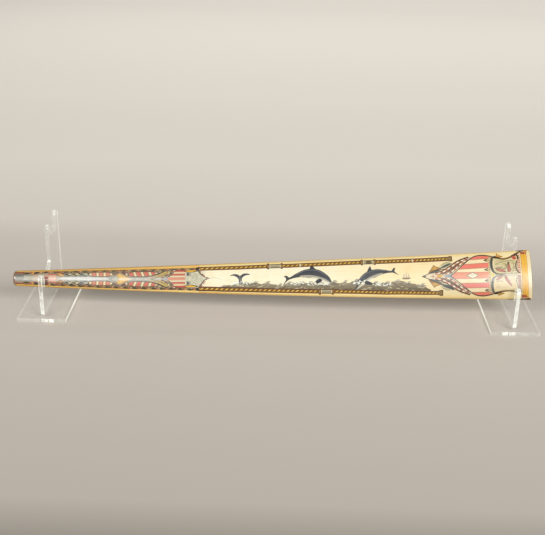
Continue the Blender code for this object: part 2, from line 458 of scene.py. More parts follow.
def paint_checked_border(art, chance):
    """The twisted, checked line inside the gold ones."""
    for side, pitch in ((1, 15.2), (-1, 14.2)):
        xs = [3 + i * 4 for i in range(72)]
        outer = [(x, side * (edge(x) - inset(x, side) - 2.7)) for x in xs]
        inner = [(x, side * (edge(x) - inset(x, side) - 6.0)) for x in xs]
        art.band(outer, inner, fade(20, (138, 108, 80), 280, (152, 124, 90)), hatching=0.2)
        art.stroke([(x, v - side * 0.5) for x, v in inner], 0.7, (112, 104, 84))
        for k in range(20):
            x = 6 + k * pitch + chance.uniform(-0.8, 0.8)
            if x > 282:
                break
            v = side * (edge(x) - inset(x, side) - 4.2)
            slant = 9 * side
            for gap, length, width, tones in (
                    (0, 9.4, 3.2, ((88, 76, 58), (80, 82, 66), (96, 78, 60))),
                    (6.0, 5.4, 2.6, ((166, 100, 70), (146, 84, 64), (176, 124, 80))),
                    (8.4, 3.6, 2.2, ((214, 178, 134), (200, 150, 112), (206, 182, 128))),
                    (10.6, 4.2, 2.6, ((96, 82, 60), (110, 74, 54), (92, 88, 66)))):
                art.area(sliver(x + gap, v + chance.uniform(-0.4, 0.4), length, width, slant),
                         mixed(tones[k % 3], CREAM, 0.1 * (side == 1)), hatching=0.3)
            art.area(oval(x - 4.0, v - side * 0.8, 2.0, 1.2), (208, 172, 126))
            art.area(oval(x + 2.6, v - side * 1.5, 1.6, 1.0), (190, 160, 112))
        for k in range(46):
            x = 70 + k * 3.9 + chance.uniform(-1, 1)
            v = side * (edge(x) - inset(x, side) - 7.7)
            art.area(sliver(x, v, 4.2, 1.5, chance.uniform(-12, 18) * side),
                     ((128, 92, 76), (202, 178, 138), (104, 98, 76), (170, 126, 98))[k % 4])


def paint_tip(art):
    """Bands and blobs round the blunt tip, as far as the first shield, and a painted highlight
    in the middle of the tip.
    """
    art.area([(0.3, -5), (2.2, -8.6), (3.2, -9), (3.2, 9), (2.2, 8.6), (0.3, 5)], (140, 108, 88))
    # Painted highlight: a pale spot in the middle of the blunt tip.
    art.area(oval(2.6, 0.3, 2.6, 3.6), (226, 220, 204))
    for side, flank in flanks(art):
        rows = ((8.8, 7.8, (92, 60, 40)), (7.8, 6.2, (162, 92, 76)), (6.2, 4.7, (138, 116, 102)),
                (4.7, 2.0, (104, 118, 104)))
        for outer, inner, colour in rows:
            flank.area([(3.4, outer), (18, outer + 0.7), (17, inner + 0.6), (3.0, inner)],
                       mixed(colour, (206, 186, 156), 0.0 if side == 1 else 0.25), hatching=0.3)
        flank.blob([(17, 5), (24, 5.6), (32, 4.8), (40, 5.8), (40, 9.8), (28, 9.4), (18, 8.8)],
                   (168, 132, 106), hatching=0.3)
        flank.blob([(15, 6.4), (21, 8.4), (27, 7.4), (22, 5.6)], (72, 62, 38), hatching=0.3)
        flank.blob([(26, 8.6), (29, 9.4), (32, 8.8), (29, 7.6)], (164, 76, 52))
        flank.blob([(29.6, 9.6), (31.8, 9.6), (31.6, 6.2), (29.8, 6.4)], (206, 150, 66))
        flank.blob([(32, 7.4), (36, 9.8), (41, 9.0), (37, 6.6)], (62, 56, 52))
        flank.line([(17, 4.0), (24, 4.6), (31, 4.0)], (1.6, 1.0), (122, 132, 126))
        flank.line([(18, 3.0), (25, 3.4), (30, 2.8)], 0.6, (150, 150, 158))
        flank.area([(48, 3), (55, 3), (55, 8.4), (48, 8)], (186, 156, 132), hatching=0.3)
        flank.blob([(48, 8.6), (51, 9.6), (54.6, 8.8), (51, 7.6)], (76, 62, 54))
        flank.stroke([(48.4, 2.0), (55, 2.6)], 0.8, (206, 150, 126))
    for k in range(6):
        x = 17 + k * 4.2
        for gap, tone in ((0.0, (206, 202, 182)), (2.0, (150, 152, 134))):
            chevron = [(x + gap, axis(x) - 3.2), (x + gap + 3.4, axis(x)), (x + gap, axis(x) + 3.2)]
            art.stroke(chevron, 1.1, tone)
    art.blob([(31, 0.2), (35, 3.8), (42, 3.4), (46, 0), (41, -3.8), (34, -3.2)], (194, 172, 152))
    art.blob([(48.2, 0), (50.6, 2.0), (55.4, 1.4), (55.4, -1.0), (51, -1.6)], (152, 42, 32))
    art.blob([(50.6, -3.0), (54.2, -3.2), (54.6, -9.6), (51.2, -10)], (112, 66, 50), hatching=0.4)


def paint_small_shield(art, x0, x1, rows, apex=False):
    """A shield of stripes along the bill, with rows of (outer, inner, colour) on each side."""
    outer = rows[0][0]
    outline = []
    reach = 14.0 if apex else 1.0
    for side in (1, -1):
        curve = [(x0, 0), (x0 + reach * 0.32, outer * 0.36), (x0 + reach * 0.66, outer * 0.76),
                 (x0 + reach, outer * 0.97), (x1, outer)]
        bent = smooth(halved(curve, side), step=2)
        outline += bent if side == 1 else bent[::-1][:-1]
    plate = art.area(outline, (236, 222, 190))
    for side, flank in flanks(art):
        for far, near, colour in rows:
            flank.area([(x0, far), (x1, far), (x1, near), (x0, near)], colour, plate)
            flank.line([(x0, near), (x1, near)], 0.35, (150, 104, 84), plate)
    art.stroke(outline + outline[:1], 0.7, (96, 74, 64) if apex else (168, 130, 108))


def paint_leaf_row(art):
    """Paired leaves from the ochre scrolls to the first striped lenses."""
    for side, flank in flanks(art):
        scroll = ((194, 148, 82), (230, 190, 118)) if side == 1 else ((150, 112, 72), (186, 146, 96))
        flank.blob([(69, 8.0), (72, 8.2), (77, 6.8), (79.4, 3.8), (75, 3.2), (71, 5.2)], scroll[0])
        flank.blob([(72.6, 6.6), (76.6, 5.6), (77.2, 4.2), (74, 4.4)], scroll[1])
        flank.line([(68, 6.4), (72, 3.8), (77, 2.6)], 0.9, (140, 92, 70))
        flank.line([(67, 9.4), (72, 9.0), (79, 7.0), (81, 3.6)], 1.2, MAROON)
        leaves = ((80, 92, (74, 78, 70), (170, 162, 132)), (91.6, 103.4, (98, 88, 62), (188, 178, 130)),
                  (103, 118, (98, 106, 108), (166, 164, 148)))
        for start, end, dark, light in leaves:
            middle = (start + end) / 2
            flank.blob([(start, 7.2), (middle, 9.2), (end, 7.6), (end - 1.2, 3.2), (start + 3, 2.6)],
                       mixed(light, (176, 166, 140), 0.5), hatching=0.3)
            for along, away, length, width, slant, tone in (
                    (start + 4.2, 6.6, 8.4, 3.0, 16, mixed(dark, light, 0.15)),
                    (middle + 1.6, 4.8, 8.4, 1.6, 22, mixed(dark, light, 0.4)),
                    (end - 2.8, 7.0, 7.6, 2.4, 26, mixed(light, CREAM, 0.35)),
                    (end - 0.6, 8.6, 6.0, 2.0, -26, mixed(dark, INK, 0.3))):
                art.area(sliver(along, axis(along) + side * away, length, width, slant * side), tone,
                         hatching=0.3)
            flank.line([(start, 7.6), (middle, 10.0), (end, 7.8)], 1.0, (88, 64, 50))
            flank.line([(start + 1, 2.8), (middle, 2.5), (end, 4.2)], 0.6, (112, 106, 102))
            flank.stroke([(start + 2, 6.0), (end - 1, 4.2)], 0.6, (46, 42, 38))
        flank.line([(80, 3.2), (100, 3.6), (118, 4.0), (140, 3.4), (152, 3.0)], 0.5, (138, 146, 136))
    # A pale band along the middle: the paint's own paler tone, with painted highlight in it.
    glow = [(74, 0), (84, 1.8), (110, 2.5), (146, 2.3), (152, 0), (146, -2.3), (110, -2.5), (84, -1.8)]
    art.blob([(x, axis(x) + v) for x, v in glow], (206, 207, 200))
    for k in range(13):
        x = 82 + k * 5.4
        art.area(oval(x, axis(x) + 0.5 * (-1) ** k, 3.6, 1.5, 14 * (-1) ** k),
                 ((190, 196, 188), (222, 212, 200), (206, 204, 184))[k % 3])


def paint_striped_lens(art, outline, reds, creams, slant, tones):
    """A pair of lenses with candy stripes whose outer ends lean towards the tip."""
    bottom, middle, top = 1.0, 7.5, 16.0
    for side, flank in flanks(art):
        lens = flank.blob(outline, (158, 128, 102))
        for centres, rims in (
                (reds, ((2.6, SALMON), (1.8, tones))),
                (creams, ((1.9, (204, 178, 138)), (1.2, (240, 222, 178))))):
            for x in centres:
                low, high = x + (middle - bottom) * slant, x - (top - middle) * slant
                for half, colour in rims:
                    stripe = [(low - half, bottom), (low + half, bottom), (high + half, top),
                              (high - half, top)]
                    flank.area(stripe, colour, lens)
        rim = smooth(halved(outline, side), closed=True)
        art.stroke(rim + rim[:1], 0.9, (112, 92, 80))
        start, end = outline[0][0], outline[4][0]
        flank.line([(start + 4, 11.6), ((start + end) / 2, 12.6), (end - 4, 12.2)], 0.8, (104, 92, 68))
        flank.line([(start + 2, 2.8), ((start + end) / 2, 2.6), (end - 2, 3.2)], 0.7, (134, 146, 138))


def paint_lenses(art):
    """Both rows of striped lenses, with the gold diamond between them."""
    lens = [(118, 6.6), (124, 9.6), (138, 10.2), (150, 10.0), (157, 7.2), (150, 4.2), (138, 3.6),
            (124, 4.0)]
    reds, creams = (126.6, 137.5, 148.6), (121, 132.2, 143.2, 153.8)
    paint_striped_lens(art, lens, reds, creams, 0.12, (218, 140, 116))
    for side, flank in flanks(art):
        flank.blob([(155.6, 6.6), (158, 5.4), (162, 8.4), (162, 10.2), (158, 9.4)], (128, 104, 92),
                   hatching=0.5)
        flank.line([(148, 3.0), (157, 6.4), (166, 11.6)], 1.1, (128, 112, 104))
        flank.line([(150, 0.2), (158, 3.4), (164, 7.4)], 0.9, (122, 126, 112))
        flank.line([(144, 3.2), (152, 0.8), (158, -0.6)], 0.7, (150, 150, 138))
        lobe = [(160.6, 7.2), (162.8, 4.6), (165.6, 1.2), (174, 0.6), (183, 0.6), (180.4, 2.8),
                (173.6, 5.6), (168, 8.0), (164, 8.2)]
        flank.area(lobe, (202, 158, 84))
        flank.area([(162.6, 6.8), (166.4, 2.0), (174, 1.8), (178, 1.8), (172, 5.0), (167, 7.2)],
                   (228, 188, 110))
        flank.line([(161, 5.4), (166.8, 10.4), (172, 7.8), (181, 3.2), (192, 2.8), (210, 3.0)], 0.8,
                   (122, 98, 92))
        flank.blob([(169, 9.8), (174, 10.6), (180, 7.8), (182, 4.8), (174, 7.4)], (128, 88, 82),
                   hatching=0.5)
        art.area(oval(177.8, axis(178) + side * 7.4, 3.0, 3.6, 60 * side), (230, 212, 180))
    art.blob([(165, -1.2), (170, 1.0), (180, 0.8), (186, -1.2), (180, -3.2), (170, -3.2)], (234, 214, 170))
    lens = [(179, 7.6), (184, 10.6), (196, 11.6), (214, 11.6), (224, 10.4), (230, 8.2), (220, 5.8),
            (206, 4.2), (190, 3.9), (182, 5.0)]
    reds, creams = (185, 196.6, 208.8, 220), (190.8, 202.6, 214.6, 225)
    paint_striped_lens(art, lens, reds, creams, 0.42, (216, 112, 94))
    art.blob([(183, -1.2), (195, 0.9), (208, 0.8), (217, -1.2), (208, -3.3), (195, -3.3)], (186, 186, 176))
    for k in range(8):
        x = 186 + k * 4.4
        art.area(oval(x, axis(x) + 0.4 * (-1) ** k, 3.4, 1.5, 12),
                 ((214, 200, 184), (172, 180, 172), (222, 216, 200))[k % 3])


def paint_arms(art):
    """Gold arms and checked ribbons that spread to the second shield."""
    for side, flank in flanks(art):
        path = smooth(halved([(206, 4.2), (216, 4.8), (224, 7.2), (232, 10.0), (241, 13.0)], side))
        art.stroke(path, (0.8, 2.4), (84, 66, 64), hatching=0.3)
        checked_ribbon(art, halved([(232, 2.2), (239, 5.0), (244, 9.2), (250, 12.6), (259, 14.8)], side),
                       2.2, 3.0, ((182, 116, 100), (222, 200, 168), (116, 106, 86)), (92, 72, 64), rim=0.7)
        arm = smooth(halved([(223, 3.0), (228, 5.2), (234, 8.0), (240, 10.8)], side))
        art.stroke(arm, (1.0, 2.9), (140, 104, 52))
        art.stroke(arm, (0.6, 2.1), (210, 180, 84))
        flank.line([(216, 0.6), (226, 2.6), (234, 5.6), (242, 9.6)], 0.6, (108, 84, 88))
        flank.line([(212, 2.8), (220, 3.4), (229, 7.2), (238, 11.4), (244, 13.6)], 0.7, (196, 180, 120))
        flank.line([(226, 1.4), (233, 4.0), (240, 7.8), (246, 11.6)], (0.8, 1.4), (200, 176, 96))
        flank.line([(229, 0.6), (236, 3.8), (243, 8.2)], 0.6, (118, 96, 92))
        flank.line([(232, 10.2), (239, 12.8), (247, 14.8), (255, 15.6)], (1.6, 0.6), (96, 76, 68))
        flank.blob([(243, 2.4), (247, 5.2), (252, 10.6), (248, 9.6), (243.6, 5.6)], (122, 112, 88),
                   hatching=0.6)
    art.blob([(220, -1.2), (227, 0.9), (234, -0.9), (227, -3.2)], (204, 198, 184))
    art.blob([(234, -1.1), (238.6, 0.6), (243, -1), (238.6, -2.8)], (170, 174, 178))
    art.stroke([(222, -1.2), (240, -1.0)], 0.6, (156, 150, 150))


def checked_ribbon(art, points, width, pitch, colours, outline, start=0, rim=0.55):
    """A ribbon of coloured squares between two lines."""
    path = even_steps(smooth(points), pitch)
    left, right = offsets(path, width / 2), offsets(path, -width / 2)
    for i in range(len(path) - 1):
        fill = colours[(i + start) % len(colours)]
        art.area([left[i], left[i + 1], right[i + 1], right[i]], fill)
    for side in (left, right):
        art.line(side, rim, outline)


def even_steps(points, pitch):
    """Points about a pitch apart along a curve."""
    lengths = [0.0]
    for p, q in zip(points, points[1:]):
        lengths.append(lengths[-1] + math.dist(p, q))
    count = max(1, round(lengths[-1] / pitch))
    marks = np.linspace(0, lengths[-1], count + 1)
    return [tuple(float(np.interp(m, lengths, [p[k] for p in points])) for k in (0, 1)) for m in marks]


def paint_field(art, chance):
    """The grey-cream field between the second shield and the ropes."""
    left = [(269, 9.6), (276, 9.4), (284, 11.8), (288.6, 17.2)]
    right = [(291.5, 13), (295, 7.0), (300, 3.4), (304.5, 0)]
    upper, lower = (smooth(halved(left, side))[:-1] + smooth(halved([left[-1]] + right, side))
                    for side in (1, -1))
    field = art.area(upper + lower[::-1][1:], FIELD, hatching=0.35)
    for _ in range(46):
        x, v = chance.uniform(272, 300), chance.uniform(-13, 12)
        colour = chance.choice(((184, 180, 156), (228, 222, 190), (170, 172, 158), (216, 200, 176)))
        art.area(oval(x, v, chance.uniform(2, 5), chance.uniform(1.2, 3), chance.uniform(0, 90)), colour,
                 field)
    for side, flank in flanks(art):
        flank.area([(271.4, 4.2), (274.8, 4.6), (275, 9.4), (271.6, 9.4)], (88, 88, 86), hatching=0.5)
        flank.blob([(274.8, 4.8), (277.6, 5.4), (277.6, 8.6), (275, 9.2)], (160, 156, 138))
        flank.blob([(267, 11.2), (276, 9.8), (284, 10.4), (289, 13), (280, 13.6), (270, 12.8)], INK)
        flank.blob([(268.5, 11.8), (276, 10.6), (283, 11.2), (286.5, 12.6), (279, 13.2), (271, 12.6)],
                   (240, 186, 68))
        lag = 0 if side == 1 else 2.4
        flank.line([(288, 17.2), (290 + lag, 11.6), (294 + lag, 6.2), (299.5, 2.6), (304, 0.4)], (2.4, 1.3),
                   (104, 86, 72))
        cord = halved([(290.4, 18.2), (292.0 + lag, 12.2), (296.4 + lag, 6.4), (303, 1.2)], side)
        for i, (x, v) in enumerate(even_steps(smooth(cord), 2.6)):
            tone = ((192, 122, 108), (236, 222, 196), (132, 98, 84))[i % 3]
            art.area(oval(x, v, 2.5, 1.9, -55 * side), tone)
        knot = ((285, 15.6), (289.5, 15), (291, 19.4), (286, 18.6))
        flank.blob([(x, w - 0.4 * inset(x, side)) for x, w in knot], (62, 52, 44))
    art.area(oval(305, axis(305), 4.2, 2.4), (150, 152, 150))
    art.line([(306, axis(306)), (316, 0.4), (326, -2.6)], (1.4, 0.3), (196, 200, 198))


ROPES = {
    1: ((291, 15.0), (310, 15.5), (350, 16.5), (390, 18.1), (430, 19.0), (470, 20.6), (510, 21.9),
        (545, 23.1), (575, 23.7), (605, 24.5), (635, 25.2), (682, 26.9)),
    -1: ((291, -16.4), (310, -16.6), (330, -17.5), (350, -17.8), (390, -19.2), (430, -20.3), (475, -21.6),
         (505, -21.9), (540, -23.0), (580, -24.7), (605, -24.9), (640, -26.1), (666, -26.4)),
}
ROPE_WIDTH = 5.3
STRAND_PITCHES = ((291, 7.8), (480, 6.8), (680, 5.6))


def rope_middle(side, x):
    """Where a rope's middle line runs at x."""
    return on_lines(ROPES[side], x)


def paint_rope(art, side, chance):
    """A rope of gold strands between dark edges, and its flared end."""
    start, end = ROPES[side][0][0], ROPES[side][-1][0]
    path = even_steps(smooth([(x, rope_middle(side, x)) for x in np.linspace(start, end, 60)]), 5)
    dark_edge = (0.8, 1.5) if side == 1 else (1.7, 0.4)
    art.stroke(path, tuple(ROPE_WIDTH + extra for extra in dark_edge), (96, 58, 42))
    art.stroke(path, ROPE_WIDTH - 1.8, (154, 114, 50))
    x = start + 4
    while x < end - 5:
        pitch = on_lines(STRAND_PITCHES, x)
        v = rope_middle(side, x)
        tone = chance.uniform(-14, 8)
        art.area(sliver(x, v, pitch * 0.96, 2.2, 24), tuple(c + tone for c in (196, 156, 66)))
        art.area(sliver(x + 0.3, v + 0.3, pitch * 0.6, 1.0, 24), tuple(c + tone for c in (234, 204, 108)))
        art.area(sliver(x + pitch / 2, v, pitch * 0.84, 1.3, 28), (98, 62, 36))
        x += pitch
    middle = rope_middle(side, end)
    for share, near, far, tone in ((1.0, 2.9, 4.6, (102, 66, 46)), (0.66, 1.9, 3.1, (150, 124, 78))):
        art.area([(end - 6, middle - near), (end, middle - far), (end + 3 * share, middle - far * 0.92),
                  (end + 3 * share, middle + far * 0.92), (end, middle + far), (end - 6, middle + near)],
                 tone, hatching=0.5)


def paint_whipping(art, side, x0, x1):
    """Twine wound round a rope between two pale rings."""
    start, end = x0 + 4, x1 - 3
    path = [(x, rope_middle(side, x)) for x in np.linspace(start, end, 8)]
    art.stroke(path, 6.8, (92, 76, 52))
    art.stroke(path, 4.9, (156, 148, 118), hatching=0.4)
    art.stroke([(x, v + 0.8) for x, v in path], 1.4, (194, 186, 154))
    for k in range(int((x1 - x0) / 2.4)):
        x = start + 1 + k * 2.4
        if x < end - 0.6:
            v = rope_middle(side, x)
            art.stroke([(x - 0.5, v - 2.4), (x + 0.5, v + 2.4)], 0.4, (140, 132, 104))
    for x, inward in ((x0 + 1.2, 2.8), (x1 - 0.8, -2.4)):
        v = rope_middle(side, x)
        knot = [(x - 2.2, v - 3.4), (x + 1.2, v - 4.8), (x + 2.0, v), (x + 1.2, v + 4.8),
                (x - 2.2, v + 3.4)]
        art.blob(knot, (112, 82, 54), hatching=0.4)
        art.area(oval(x, v, 1.8, 5.4), (172, 140, 82))
        ring = (x + inward, rope_middle(side, x + inward))
        art.area(oval(*ring, 2.9, 6.6), (104, 80, 54))
        art.area(oval(*ring, 1.9, 5.4), (220, 206, 164))


def paint_bead(art, side, x, band=False):
    """A pale ring on a rope, with a red band beside it where asked."""
    v = rope_middle(side, x)
    art.area(oval(x, v, 3.6, 6.2), (84, 60, 38))
    art.area(oval(x, v, 2.6, 5.0), (232, 218, 180))
    if band:
        art.stroke([(x + 3.6, v - 2.6), (x + 3.6, v + 2.6)], 1.6, (168, 74, 48))


def paint_ropes(art, chance):
    """Both ropes, with their whippings and beads."""
    for side in (1, -1):
        paint_rope(art, side, chance)
    paint_whipping(art, 1, 397, 420)
    paint_bead(art, 1, 448)
    paint_whipping(art, 1, 543, 565)
    patch = [(x, rope_middle(1, x)) for x in (551, 558.6)]
    art.line(patch, 5.4, (112, 94, 68), hatching=0.5)
    paint_bead(art, 1, 623, band=True)
    paint_whipping(art, -1, 477, 499)


def leaping(length, x, v, slant, arch, flip=1):
    """Turns an animal's own coordinates into the face's, on an arched middle line."""

    def place(points):
        arched = [(a * length * flip, (b - arch * a * a) * length) for a, b in points]
        return turned(arched, x, v, slant)

    return place


def paint_dolphin(art, place):
    """A dolphin, drawn in its own length, nose towards +1, and put in its place."""
    body = [(0.5, -0.02), (0.45, 0.012), (0.4, 0.03), (0.36, 0.075), (0.28, 0.105), (0.16, 0.13),
            (0.07, 0.135), (0.02, 0.175), (-0.05, 0.215), (-0.04, 0.16), (-0.05, 0.125), (-0.16, 0.1),
            (-0.3, 0.05), (-0.41, 0.015), (-0.47, 0.07), (-0.52, 0.085), (-0.475, 0.0), (-0.52, -0.085),
            (-0.46, -0.05), (-0.4, -0.03), (-0.25, -0.035), (-0.1, -0.055), (0.05, -0.07), (0.2, -0.07),
            (0.34, -0.05), (0.44, -0.04)]
    shape = art.blob(place(body), (62, 67, 72), hatching=0.8)
    art.blob(place([(0.47, -0.03), (0.36, 0.0), (0.2, 0.005), (0.0, 0.0), (-0.2, -0.005), (-0.2, -0.05),
                    (0.0, -0.09), (0.3, -0.08)]), (176, 170, 152), shape, hatching=0.4)
    art.blob(place([(0.4, -0.035), (0.25, -0.03), (0.05, -0.035), (0.0, -0.08), (0.3, -0.08)]),
             (228, 222, 200), shape)
    art.blob(place([(0.2, -0.03), (0.14, -0.05), (0.06, -0.16), (0.14, -0.14), (0.22, -0.06)]),
             (54, 58, 64))
    art.line(place([(0.3, 0.085), (0.1, 0.105), (-0.1, 0.09), (-0.3, 0.035)]), 0.9, (120, 124, 128), shape)
    art.area(oval(*place([(0.345, 0.03)])[0], 0.9, 0.8), (20, 20, 22))
    art.line(place([(0.49, -0.018), (0.42, -0.008), (0.38, -0.012)]), 0.3, (40, 42, 46), shape)


def sea_level(x):
    """Top of the nearer waves, which slopes away at both ends."""
    swell = 1.7 * math.sin(x / 11.5) + 1.0 * math.sin(x / 5.3 + 1.0) + 0.5 * math.sin(x / 2.4)
    left, right = clamped((x - 314) / 30), clamped((650 - x) / 34)
    return -9.6 + swell - 5.4 * (1 - left) - 11 * (1 - right) ** 2


def paint_wave(art, x, v, length, height, chance):
    """One curling crest with foam along its top."""
    crest = [(x - length * 0.5, v), (x - length * 0.2, v + height * 0.45), (x + length * 0.05, v + height),
             (x + length * 0.28, v + height * 0.86), (x + length * 0.3, v + height * 0.55),
             (x + length * 0.16, v + height * 0.5), (x + length * 0.22, v + height * 0.15),
             (x + length * 0.5, v - 0.6), (x, v - height * 0.4)]
    body = art.blob(crest, chance.choice(((152, 144, 120), (132, 124, 102), (170, 160, 134))), hatching=0.8)
    art.line([(x - length * 0.3, v + height * 0.1), (x - length * 0.02, v + height * 0.62),
              (x + length * 0.2, v + height * 0.74)], (0.4, 1.1), (214, 210, 190), body)
    art.line([(x - length * 0.1, v), (x + length * 0.08, v + height * 0.4)], (0.3, 0.7), (96, 90, 72), body)


def paint_far_sail(art):
    """A small ship with three sails."""
    v = -1.5
    for x, height in ((608.6, 5.6), (612.4, 7.4), (616.0, 5.2)):
        art.blob([(x - 1.5, v), (x - 1.2, v + height * 0.6), (x - 0.4, v + height),
                  (x + 1.5, v + height * 0.5), (x + 1.7, v)], (222, 206, 170))
        art.stroke([(x, v - 1.2), (x, v + height + 0.8)], 0.3, (150, 132, 104))
    art.blob([(606, -2.4), (618.4, -2.2), (616.6, -4.6), (607.4, -4.6)], (140, 122, 96), hatching=0.6)


def paint_flukes(art):
    """A diving whale's tail."""
    flukes = [(352, -10), (352.6, -4), (350, 0.6), (344, 3.6), (338.6, 3.0), (343, 5.8), (349.6, 6.0),
              (354.4, 3.6), (359, 6.6), (365.6, 7.2), (370, 5.0), (364, 4.2), (358.4, 0.8), (357.2, -4),
              (359, -10)]
    tail = art.blob(flukes, (84, 88, 92), hatching=0.8)
    art.line([(354, 3), (354.6, -2), (355.6, -9)], (0.4, 1.6), (150, 150, 146), tail)


def paint_water(art, chance):
    """The band of water on the lower rope, with its glints and waves."""
    floor = [(x, rope_middle(-1, x) + 2.6) for x in np.arange(316, 650.5, 2.0)]
    water = [(x, max(sea_level(x), low + 0.3)) for x, low in floor]

    def depth(x, v):
        return mixed((162, 152, 126), (132, 118, 90), clamped((-v - 8) / 12))

    sea = art.band(water, floor, depth, hatching=0.9)
    for _ in range(150):
        x = chance.uniform(320, 646)
        v = chance.uniform(rope_middle(-1, x) + 3, sea_level(x) - 0.6)
        tone = chance.choice(((182, 172, 144), (108, 96, 72), (206, 196, 168), (96, 92, 82)))
        art.area(sliver(x, v, chance.uniform(4, 9), chance.uniform(0.6, 1.5), chance.uniform(-22, 22)),
                 tone, sea)
    for k in range(19):
        x = 330 + k * 16.9 + chance.uniform(-4, 4)
        paint_wave(art, x, sea_level(x) - 1.0, chance.uniform(12, 19), chance.uniform(3.2, 5.4), chance)


def paint_foam(art, chance):
    """Surf round the animals, and a few drops above it."""
    surf = ((338, 372, -7.5), (432, 452, -8.5), (458, 492, -10.0), (530, 548, -8), (560, 588, -11.5))
    for x0, x1, v in surf:
        for _ in range(int((x1 - x0) * 0.9)):
            x = chance.uniform(x0, x1)
            art.area(oval(x, v + chance.uniform(-2.6, 2.2), chance.uniform(1.6, 5),
                          chance.uniform(0.8, 2.0), chance.uniform(-30, 30)),
                     chance.choice((FOAM, (214, 216, 200), (248, 246, 232))))
    for x, v in ((336, -3), (448, -3.5), (452, -1), (524, -4), (596, -7), (378, -4.5)):
        for _ in range(5):
            art.area(oval(x + chance.uniform(-4, 4), v + chance.uniform(-2, 2), 1.1, 0.8), (206, 200, 180))


def paint_sea(art, chance):
    """A generic sea piece: a whale's flukes, two leaping dolphins and a far sail above waves."""
    paint_far_sail(art)
    paint_flukes(art)
    paint_dolphin(art, leaping(80, 465, 3.6, -7, 0.62))
    paint_water(art, chance)
    paint_dolphin(art, leaping(72, 560, 1.5, 24, 0.5, flip=-1))
    paint_foam(art, chance)


def paint_spear(art):
    """The pointed head of the wide end's ornament: leaves, gold fins and checked ribbons."""
    checks = ((248, 234, 200), (212, 146, 114), (244, 228, 194), (168, 112, 84))
    head = [(638, 0), (648, 3.4), (657, 5.6), (668, 8.4), (680, 13.6), (688, 18)]
    outline = smooth(halved(head, 1)) + smooth(halved(head, -1))[::-1]
    art.area(outline, (232, 218, 182), hatching=0.1)
    art.area(oval(640, axis(640), 6.4, 2.6), (92, 92, 86), hatching=0.4)
    for side, flank in flanks(art):
        fin = [(646, 5.0), (649, 9.0), (651.6, 12.8), (655.4, 18.0), (658, 15.6), (662, 14.4), (669, 12.6),
               (660, 8.6)]
        flank.area(fin, (150, 110, 54), hatching=0.4)
        flank.area([(651, 9.6), (655.2, 16.6), (657.4, 14.4), (663, 12.8), (657, 10.4)], (208, 164, 80))
        flank.stroke([(652.6, 9.8), (656, 15.4)], 0.7, (172, 128, 56))
        flank.blob([(664, 15.4), (668, 18.6), (674, 21.6), (681, 22.2), (676, 18.4), (669, 15.6)],
                   (206, 196, 152), hatching=0.4)
        flank.line([(668, 18.6), (674, 21.4), (680, 21.8)], 0.7, (134, 118, 84))
        flank.blob([(646, 4.0), (652, 7.2), (660, 9.8), (667.6, 10.6), (662, 7.4), (654, 4.6)],
                   (92, 104, 96), hatching=0.6)
        flank.line([(664, 12.6), (666.4, 10.8), (672, 10.8)], 1.2, (104, 78, 46))
        leaf_end = [(684, 20.4), (679.6, 16.6)] if side == 1 else [(686.6, 22.6), (682, 16.8)]
        flank.blob([(664, 12.2), (670, 16.0), (677, 19.2)] + leaf_end + [(672, 12.8)],
                   (112, 118, 108) if side == 1 else (80, 88, 86), hatching=0.6)
        flank.line([(667, 13.8), (674, 16.6), (682, 19.6)], (0.6, 1.2), (54, 60, 60))
        flank.line([(668, 15.4), (675, 18.6), (681, 20.6)], 0.5, (176, 176, 150))
        flank.line([(637, 0.2), (646, 3.6), (655, 7.6), (663, 10.4)], (1.0, 1.6), (72, 66, 54))
        outer = [(657, 3.4), (664, 4.8), (672.4, 8.0), (678, 11.4), (684.4, 15.5), (691, 19.8),
                 (698.6, 23.4), (711, 27.4)]
        inner = [(668, 0.6), (675, 3.0), (682.5, 6.6), (687.4, 10), (691.5, 13.4), (697.5, 18.4),
                 (704, 22.8), (713, 27.2)]
        gap = [(664, 2.8), (671, 5.0), (678, 8.2), (684, 11.8), (691, 16.6), (698.6, 21.2), (706.4, 25.2)]
        flank.line(gap, (1.4, 4.8), (118, 88, 66), hatching=0.4)
        art.stroke(offsets(smooth(halved(outer, side)), 2.4 * side), (0.8, 1.8), (84, 66, 52))
        checked_ribbon(art, halved(outer, side), 3.0, 4.2, checks, (116, 80, 60), 1, rim=1.0)
        checked_ribbon(art, halved(inner, side), 3.0, 4.2, checks, (116, 80, 60), rim=1.0)
        for x, w in ((654, 1.8), (659.6, 2.6)):
            flank.oval(x, w, 3.2, 2.2, (214, 156, 136))
    art.stroke([(650, -1.2), (656, -1)], 1.2, (150, 146, 130))
    art.blob([(659, -1), (663.5, 1.5), (669, -0.8), (663.5, -3.2)], (214, 164, 70))
    art.blob([(669, -0.8), (676, 2.0), (686, 3.4), (686, -5.0), (676, -3.4)], (168, 172, 166))
    art.blob([(674, -0.8), (680, 0.8), (687, 0.8), (687, -2.4), (680, -2.4)], (136, 140, 140))


GREAT_SHIELD = (
    (682, 0), (685, 3.2), (690, 7.2), (695.6, 12.2), (701, 17.2), (707, 22.0), (714, 27.4),
    (722, 30.9), (731, 31.9), (739, 31), (747, 29.2))
GREAT_STRIPES = ((31.8, 26, SALMON), (26, 19.6, None), (19.6, 11.8, SALMON), (11.8, 4.9, None))


